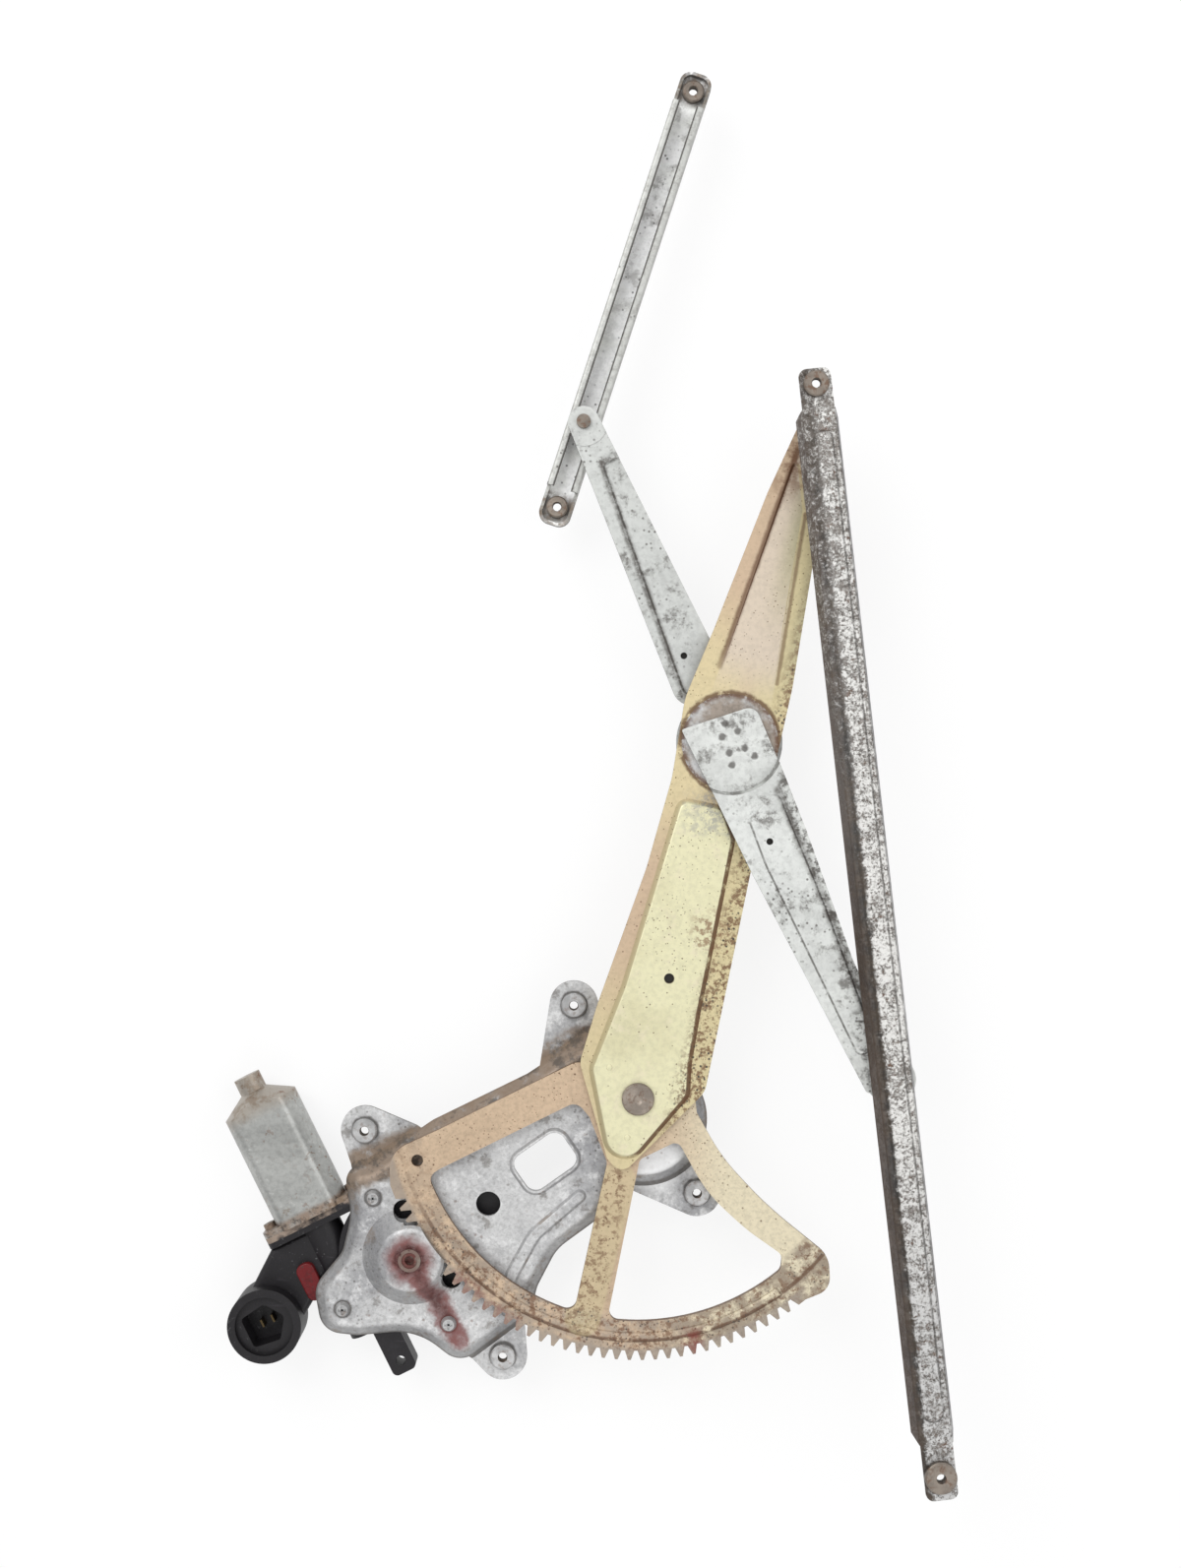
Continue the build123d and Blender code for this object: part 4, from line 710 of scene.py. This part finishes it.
def black_moulding():
    """Gear housing and connector: black moulding, dusty on its upper faces."""
    tone = colours()
    look = Finish("black_moulding")
    grain = look.noise(900.0, 2.0, 0.5)
    dust = look.noise(75.0, 5.0, 0.7, 3.0)
    level = look.facing.part("Z").ramp(0.5, 0.95)
    look.colour = look.mix(tone.plastic, shade(tone.plastic, 2.2), dust.ramp(0.50, 0.72) * level * 0.6)
    look.lay(shade(tone.zinc_dull, 0.5), specks(look, 500.0, 0.63, 4.0) * level * 0.4)
    scratch = look.noise(240.0, 3.0, 0.7, 6.0, (0.15, 1.0, 1.0), 0.7).ramp(0.64, 0.7)
    look.lay(shade(tone.plastic, 3.0), scratch * 0.5)
    return look.finish(0.34 + dust * 0.25, 0.0, grain * 0.5 + dust * 0.4, 0.00015, level=0.35)


def brown_moulding():
    """Brush plate: brown moulding under the motor's flange."""
    tone = colours()
    look = Finish("brown_moulding")
    cloud = look.noise(90.0, 4.0, 0.6, 2.0)
    look.colour = look.mix(shade(tone.bronze, 0.9), shade(tone.plastic, 1.3), cloud.ramp(0.45, 0.65))
    return look.finish(0.5 + cloud * 0.2, 0.1, cloud, 0.0001)


def red_moulding():
    """Locking tab: red moulding with darker worn patches."""
    tone = colours()
    look = Finish("red_moulding")
    cloud = look.noise(140.0, 4.0, 0.65, 2.0)
    look.colour = look.mix(tone.red, shade(tone.red, 0.45), cloud.ramp(0.45, 0.68))
    look.lay(shade(tone.soot, 0.6), specks(look, 500.0, 0.58, 4.0) * 0.6)
    return look.finish(0.36 + cloud * 0.2, 0.0, cloud, 0.0001, level=0.3)


def greased_steel(name, amount):
    """Pinion and bush: machined steel under red-brown grease."""
    tone = colours()
    look = Finish(name)
    fine = look.noise(300.0, 4.0, 0.65, 4.0)
    wet = look.noise(140.0, 4.0, 0.6, 7.0).ramp(0.36, 0.56)
    look.colour = look.mix(shade(tone.steel, 0.85), shade(tone.grease, 0.7), wet * amount)
    look.lay(shade(tone.grease, 0.35), fine.ramp(0.55, 0.68))
    return look.finish(0.34 + fine * 0.15, 0.6 - wet * 0.45, fine, 0.00015)


def moulded(name, colour, shift):
    """Natural moulding or carbon: one colour with soft clouding and a fine grain."""
    look = Finish(name)
    cloud = look.noise(90.0, 4.0, 0.6, shift)
    look.colour = look.mix(colour, shade(colour, 0.72), cloud.ramp(0.4, 0.7))
    return look.finish(0.45 + cloud * 0.2, 0.0, look.noise(700.0, 2.0, 0.5, shift), 0.00005)


def metal(name, colour, shift, amount=0.9):
    """Bare inner metal: one colour with soft clouding and a fine grain."""
    look = Finish(name)
    cloud = look.noise(150.0, 4.0, 0.6, shift)
    look.colour = look.mix(colour, shade(colour, 0.7), cloud.ramp(0.4, 0.7))
    return look.finish(0.3 + cloud * 0.25, amount, look.noise(800.0, 2.0, 0.5, shift), 0.00005)


def body_of(node):
    """Body that carries a node."""
    return next(body for body, nodes in frame["record"]["behaviour"]["bodies"].items() if node in nodes)


def settle(piece, nodes, body):
    """Give a finished piece its place on a body."""
    if nodes:
        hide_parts(*nodes)
    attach(piece, body)


def smooth_copy(node, material):
    """A copy of a solid with its round faces smooth and its cut edges sharp, in the given finish."""
    mesh = frame["nodes"][node].data.copy()
    form = bmesh.new()
    form.from_mesh(mesh)
    bmesh.ops.remove_doubles(form, verts=form.verts, dist=1e-6)
    bmesh.ops.dissolve_degenerate(form, dist=1e-7, edges=form.edges)
    for face in form.faces:
        face.smooth = True
    for edge in form.edges:
        edge.smooth = len(edge.link_faces) == 2 and edge.calc_face_angle(0.0) < SHARP_EDGE
    form.to_mesh(mesh)
    form.free()
    mesh.materials.clear()
    mesh.materials.append(material)
    settle(add_object(node + "_dressed", mesh), [node], body_of(node))


class Tree:
    """A Geometry Nodes tree under construction."""

    def __init__(self, name, numbers):
        self.group = bpy.data.node_groups.new(name, "GeometryNodeTree")
        face = self.group.interface
        face.new_socket("Geometry", in_out="INPUT", socket_type="NodeSocketGeometry")
        inputs = {**dict.fromkeys(numbers, "NodeSocketFloat"), "Finish": "NodeSocketMaterial"}
        self.keys = {}
        for label, kind in inputs.items():
            self.keys[label] = face.new_socket(label, in_out="INPUT", socket_type=kind).identifier
        face.new_socket("Geometry", in_out="OUTPUT", socket_type="NodeSocketGeometry")
        self.start = self.group.nodes.new("NodeGroupInput")
        self.end = self.group.nodes.new("NodeGroupOutput")

    def given(self, label):
        """An input of the tree."""
        return self.start.outputs[label]

    def node(self, kind, settings, sockets, out=0):
        return add_node(self.group, kind, settings, sockets, out)

    def times(self, label, factor):
        """An input times a factor."""
        return self.node("ShaderNodeMath", {"operation": "MULTIPLY"}, {0: self.given(label), 1: factor})

    def scatter(self, shape):
        """Put a shape on every point, as real mesh in the given finish."""
        places = self.given("Geometry")
        spread = self.node("GeometryNodeInstanceOnPoints", {}, {"Points": places, "Instance": shape})
        real = self.node("GeometryNodeRealizeInstances", {}, {"Geometry": spread})
        dressed = self.node("GeometryNodeSetMaterial", {}, {"Geometry": real, "Material": self.given("Finish")})
        self.group.links.new(dressed, self.end.inputs[0])

    def make(self, name, places, values):
        """Run the tree on points, and return the result as a plain mesh object."""
        points = bpy.data.meshes.new(name)
        points.from_pydata([tuple(place) for place in places], [], [])
        piece = add_object(name, points)
        modifier = piece.modifiers.new(name, "NODES")
        modifier.node_group = self.group
        for label, value in values.items():
            modifier[self.keys[label]] = value
        graph = bpy.context.evaluated_depsgraph_get()
        mesh = bpy.data.meshes.new_from_object(piece.evaluated_get(graph))
        piece.modifiers.remove(modifier)
        piece.data = mesh
        if not mesh.polygons:
            raise RuntimeError(f"{name} came out empty")
        return piece


def thread_tree():
    """Ridge of a thread: a small ring swept along a spiral."""
    tree = Tree("thread", ("Radius", "Height", "Turns", "Ridge"))
    spiral = tree.node(
        "GeometryNodeCurveSpiral", {},
        {"Resolution": 20, "Rotations": tree.given("Turns"), "Start Radius": tree.given("Radius"),
         "End Radius": tree.given("Radius"), "Height": tree.given("Height")})
    ring = tree.node("GeometryNodeCurvePrimitiveCircle", {}, {"Resolution": 6, "Radius": tree.given("Ridge")})
    coil = tree.node("GeometryNodeCurveToMesh", {}, {"Curve": spiral, "Profile Curve": ring, "Fill Caps": True})
    tree.scatter(coil)
    return tree


def pip_tree():
    """A low round pip."""
    tree = Tree("pip", ("Radius", "Rise"))
    ball = tree.node("GeometryNodeMeshUVSphere", {}, {"Segments": 20, "Rings": 10, "Radius": tree.given("Radius")})
    share = tree.node("ShaderNodeMath", {"operation": "DIVIDE"}, {0: tree.given("Rise"), 1: tree.given("Radius")})
    squash = tree.node("ShaderNodeCombineXYZ", {}, {"X": 1.0, "Y": 1.0, "Z": share})
    low = tree.node("GeometryNodeTransform", {}, {"Geometry": ball, "Scale": squash})
    smooth = tree.node("GeometryNodeSetShadeSmooth", {}, {"Geometry": low})
    tree.scatter(smooth)
    return tree


def screw_tree():
    """Pan head with a cross recess."""
    tree = Tree("screw", ("Radius", "Height"))
    crown = tree.times("Radius", SCREW_CROWN)
    head = tree.node(
        "GeometryNodeMeshCone", {},
        {"Vertices": 40, "Side Segments": 1, "Radius Top": crown, "Radius Bottom": tree.given("Radius"),
         "Depth": tree.given("Height")})
    long = tree.times("Radius", RECESS_LENGTH)
    thin = tree.times("Radius", RECESS_WIDTH)
    bars = []
    for x, y in ((long, thin), (thin, long)):
        size = tree.node("ShaderNodeCombineXYZ", {}, {"X": x, "Y": y, "Z": long})
        bars.append(tree.node("GeometryNodeMeshCube", {}, {"Size": size}))
    both = tree.node("GeometryNodeMeshBoolean", {"operation": "UNION"}, {"Mesh 2": bars[0]})
    tree.group.links.new(bars[1], both.node.inputs["Mesh 2"])
    up = tree.node("ShaderNodeCombineXYZ", {}, {"Z": tree.given("Radius")})
    raised = tree.node("GeometryNodeTransform", {}, {"Geometry": both, "Translation": up})
    cut = tree.node("GeometryNodeMeshBoolean", {"operation": "DIFFERENCE"}, {"Mesh 1": head, "Mesh 2": raised})
    tree.scatter(cut)
    return tree


class REGULATOR_OT_stage(bpy.types.Operator):
    """Lay the pale floor, light it and set the camera over the part"""
    bl_idname = "regulator.stage"
    bl_label = "Stage"

    def execute(self, context):
        centre = at(*VIEW_CENTRE)
        level = CAD_BOX[0][2] - FLOOR_DROP
        corners = [(centre.x + x * FLOOR_REACH, centre.y + y * FLOOR_REACH, level)
                   for x, y in ((-1, -1), (1, -1), (1, 1), (-1, 1))]
        mesh = bpy.data.meshes.new("floor")
        mesh.from_pydata(corners, [], [(0, 1, 2, 3)])
        floor = add_object("floor", mesh)
        mesh.materials.append(self.floor_paint())
        for name, offset, width, power in LAMPS:
            self.lamp(name, Vector(offset), width, power, centre)
        world = bpy.data.worlds.new("studio")
        world.use_nodes = True
        sky = world.node_tree.nodes["Background"]
        sky.inputs["Color"].default_value = (1.0, 1.0, 1.0, 1.0)
        sky.inputs["Strength"].default_value = SKY
        context.scene.world = world
        self.camera(context, centre)
        context.scene.view_settings.view_transform = "Standard"
        return {"FINISHED"}

    def floor_paint(self):
        """White to the camera and in reflections, with a faint shadow."""
        look = Finish("pale_floor")
        paper = look.node("ShaderNodeBsdfDiffuse", {}, {"Color": (0.9, 0.9, 0.9, 1.0)})
        glow = look.node("ShaderNodeEmission", {}, {"Color": (1.0, 1.0, 1.0, 1.0), "Strength": 1.0})
        ray = look.node("ShaderNodeLightPath", {}, {}, "Is Camera Ray")
        for kind in ("Is Glossy Ray", "Is Transmission Ray"):
            ray = ray.most(look.node("ShaderNodeLightPath", {}, {}, kind))
        return look.close(look.node("ShaderNodeMixShader", {}, {0: ray * FLOOR_GLOW, 1: paper, 2: glow}))

    def lamp(self, name, offset, width, power, centre):
        """An area lamp that looks at the centre of the view."""
        data = bpy.data.lights.new(name, "AREA")
        data.size = width
        data.energy = power
        lamp = add_object(name, data)
        lamp.location = centre + offset
        lamp.rotation_euler = (-offset).to_track_quat("-Z", "Y").to_euler()

    def camera(self, context, centre):
        """A camera that looks straight down on the centre of the view."""
        size = sizes()
        data = bpy.data.cameras.new("camera")
        data.sensor_fit = "HORIZONTAL"
        data.lens = data.sensor_width * size.camera_height / size.view_width
        data.clip_start = 0.05
        camera = add_object("camera", data)
        camera.location = (centre.x, centre.y, PIVOT.z + size.camera_height)
        context.scene.camera = camera


class REGULATOR_OT_base_plate(bpy.types.Operator):
    """Dress the pressed base plate with its pivot, washer and bush"""
    bl_idname = "regulator.base_plate"
    bl_label = "Base plate"

    def execute(self, context):
        tone = colours()
        smooth_copy("base_plate", zinc_plate())
        smooth_copy("pivot_washer", plated_steel("washer_steel", tone.zinc_dull, 3.0))
        smooth_copy("pivot_stud", plated_steel("pivot_steel", shade(tone.steel, 1.35), 6.0, 0.45))
        smooth_copy("pinion_bush", greased_steel("bush_steel", 0.45))
        return {"FINISHED"}


class REGULATOR_OT_nuts(bpy.types.Operator):
    """Dress the weld nuts and add their threads"""
    bl_idname = "regulator.nuts"
    bl_label = "Weld nuts"

    def execute(self, context):
        tone = colours()
        size = sizes()
        steel = plated_steel("nut_steel", tone.steel, 2.0)
        pale = plated_steel("ear_nut_steel", shade(tone.zinc, 0.95), 7.0, 0.35)
        # Threads get half the steel's tone: painted shade in the nuts' bores.
        dark = plated_steel("thread_shaded_steel", shade(tone.steel, 0.5), 4.0)
        tree = thread_tree()
        lift = Vector((0.0, 0.0, size.thread_wire))
        for node, prefixes, body in NUT_GROUPS:
            smooth_copy(node, pale if body == "base" else steel)
            mounts = [mount for prefix in prefixes for mount in frame["record"]["mounts"]
                      if mount["name"].startswith(prefix)]
            dims = mounts[0]["dims"]
            height = dims["length_mm"] * MM
            ridge = tree.make(
                node + "_thread", [Vector(mount["pos_m"]) + lift for mount in mounts],
                {"Radius": dims["r_mm"] * MM, "Height": height - 2.0 * size.thread_wire,
                 "Turns": height / size.thread_pitch - 1.0, "Ridge": size.thread_wire, "Finish": dark})
            settle(ridge, [], body)
        return {"FINISHED"}


class REGULATOR_OT_sector(bpy.types.Operator):
    """Dress the toothed sector and the pinion that drives it"""
    bl_idname = "regulator.sector"
    bl_label = "Sector and pinion"

    def execute(self, context):
        smooth_copy("sector_gear", chromate_sector())
        smooth_copy("drive_pinion", greased_steel("pinion_steel", 0.9))
        return {"FINISHED"}


class REGULATOR_OT_lift_arm(bpy.types.Operator):
    """Dress the lift arm and its stud, and add its locating pips"""
    bl_idname = "regulator.lift_arm"
    bl_label = "Lift arm"

    def execute(self, context):
        size = sizes()
        paint = chromate_arm()
        smooth_copy("lift_arm", paint)
        smooth_copy("lift_stud", plated_steel("lift_stud_steel", colours().steel, 8.0))
        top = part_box("lift_arm")[1].z
        pips = pip_tree().make(
            "arm_pips", [at(x, y, top) for x, y in ARM_PIPS],
            {"Radius": size.pip, "Rise": size.pip * PIP_RISE, "Finish": paint})
        settle(pips, [], "lift")
        return {"FINISHED"}


class REGULATOR_OT_equalizer(bpy.types.Operator):
    """Dress both halves of the equalizer arm, its hub, studs and spot welds"""
    bl_idname = "regulator.equalizer"
    bl_label = "Equalizer arm"

    def execute(self, context):
        tone = colours()
        size = sizes()
        paint = galvanised_arm("galvanised_front", 1.0, FRONT_DIMPLE)
        smooth_copy("equalizer_front_half", paint)
        smooth_copy("equalizer_rear_half", galvanised_arm("galvanised_rear", 0.80, REAR_DIMPLE))
        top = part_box("equalizer_front_half")[0].z + size.sheet
        welds = pip_tree().make(
            "spot_welds", [at(x, y, top) for x, y in SPOT_WELDS],
            {"Radius": size.weld_spot, "Rise": size.weld_spot * WELD_RISE, "Finish": paint})
        settle(welds, [], "equalizer")
        smooth_copy("scissor_hub", hub_steel())
        smooth_copy("equalizer_stud", plated_steel("equalizer_stud_steel", shade(tone.steel, 1.2), 5.0))
        smooth_copy("guide_stud", plated_steel("guide_stud_steel", shade(tone.steel, 0.9), 4.0))
        return {"FINISHED"}


class REGULATOR_OT_channels(bpy.types.Operator):
    """Dress the lift rail, the guide channel and the rollers in them"""
    bl_idname = "regulator.channels"
    bl_label = "Rail, guide and rollers"

    def execute(self, context):
        smooth_copy("lift_rail", flaked_rail())
        smooth_copy("guide_channel", guide_zinc())
        natural = moulded("roller_moulding", tint("E4E0D2"), 3.0)
        for node in ("lift_roller", "equalizer_roller", "guide_roller"):
            smooth_copy(node, natural)
        return {"FINISHED"}


class REGULATOR_OT_motor(bpy.types.Operator):
    """Dress the motor can, its brush plate and its flange screws"""
    bl_idname = "regulator.motor"
    bl_label = "Motor"

    def execute(self, context):
        tone = colours()
        smooth_copy("motor_yoke", yoke_zinc())
        smooth_copy("brush_plate", brown_moulding())
        smooth_copy("flange_screws", plated_steel("flange_screw_steel", shade(tone.bronze, 1.1), 7.0))
        return {"FINISHED"}


class REGULATOR_OT_housing(bpy.types.Operator):
    """Dress the gear housing, its cover, its screws and the connector"""
    bl_idname = "regulator.housing"
    bl_label = "Gear housing and connector"

    def execute(self, context):
        size = sizes()
        black = black_moulding()
        for node in ("gear_housing", "gear_cover", "connector_shell"):
            smooth_copy(node, black)
        smooth_copy("lock_tab", red_moulding())
        smooth_copy("terminals", metal("terminal_brass", tint("5C4E36"), 2.0))
        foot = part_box("motor_screws")[1].z - size.screw_height
        steel = plated_steel("screw_steel", shade(colours().zinc, 0.85), 9.0, 0.4)
        heads = screw_tree().make(
            "motor_screw_heads", [at(x, y, foot) for x, y in SCREWS],
            {"Radius": size.screw_head, "Height": size.screw_height, "Finish": steel})
        settle(heads, ["motor_screws"], "base")
        return {"FINISHED"}


class REGULATOR_OT_inner(bpy.types.Operator):
    """Dress what runs inside the motor and the gear housing"""
    bl_idname = "regulator.inner"
    bl_label = "Inner drive"

    def execute(self, context):
        smooth_copy("worm_wheel", moulded("wheel_moulding", tint("E0DAC4"), 5.0))
        smooth_copy("armature_shaft", metal("shaft_steel", tint("B4B2AE"), 1.0))
        smooth_copy("armature_core", metal("core_steel", tint("6A6866"), 3.0, 0.6))
        smooth_copy("commutator", metal("commutator_copper", tint("C08050"), 4.0))
        smooth_copy("field_magnets", moulded("magnet_ferrite", tint("3A3A3C"), 6.0))
        smooth_copy("brushes", moulded("brush_carbon", tint("2A2A2A"), 7.0))
        sintered = metal("sintered_bronze", tint("A07C4A"), 8.0)
        smooth_copy("rear_bearing", sintered)
        smooth_copy("worm_bearings", sintered)
        return {"FINISHED"}


PIECES = (
    REGULATOR_OT_base_plate, REGULATOR_OT_nuts, REGULATOR_OT_sector, REGULATOR_OT_lift_arm, REGULATOR_OT_equalizer,
    REGULATOR_OT_channels, REGULATOR_OT_motor, REGULATOR_OT_housing, REGULATOR_OT_inner, REGULATOR_OT_stage)


class REGULATOR_PT_sidebar(bpy.types.Panel):
    """Lists the regulator's pieces"""
    bl_idname = "REGULATOR_PT_sidebar"
    bl_label = "Window regulator"
    bl_space_type = "VIEW_3D"
    bl_region_type = "UI"
    bl_category = "Regulator"

    def draw(self, context):
        for operator in PIECES:
            self.layout.operator(operator.bl_idname)
        for group in (context.scene.regulator_sizes, context.scene.regulator_colours):
            for key in group.__annotations__:
                self.layout.prop(group, key)


CLASSES = (RegulatorColours, RegulatorSizes, *PIECES, REGULATOR_PT_sidebar)


def register():
    for item in CLASSES:
        bpy.utils.register_class(item)
    bpy.types.Scene.regulator_colours = bpy.props.PointerProperty(type=RegulatorColours)
    bpy.types.Scene.regulator_sizes = bpy.props.PointerProperty(type=RegulatorSizes)


def unregister():
    del bpy.types.Scene.regulator_sizes
    del bpy.types.Scene.regulator_colours
    for item in reversed(CLASSES):
        bpy.utils.unregister_class(item)


def main():
    register()
    bpy.ops.regulator.base_plate()
    bpy.ops.regulator.nuts()
    bpy.ops.regulator.sector()
    bpy.ops.regulator.lift_arm()
    bpy.ops.regulator.equalizer()
    bpy.ops.regulator.channels()
    bpy.ops.regulator.motor()
    bpy.ops.regulator.housing()
    bpy.ops.regulator.inner()
    bpy.ops.regulator.stage()


if __name__ == "__main__":
    main()
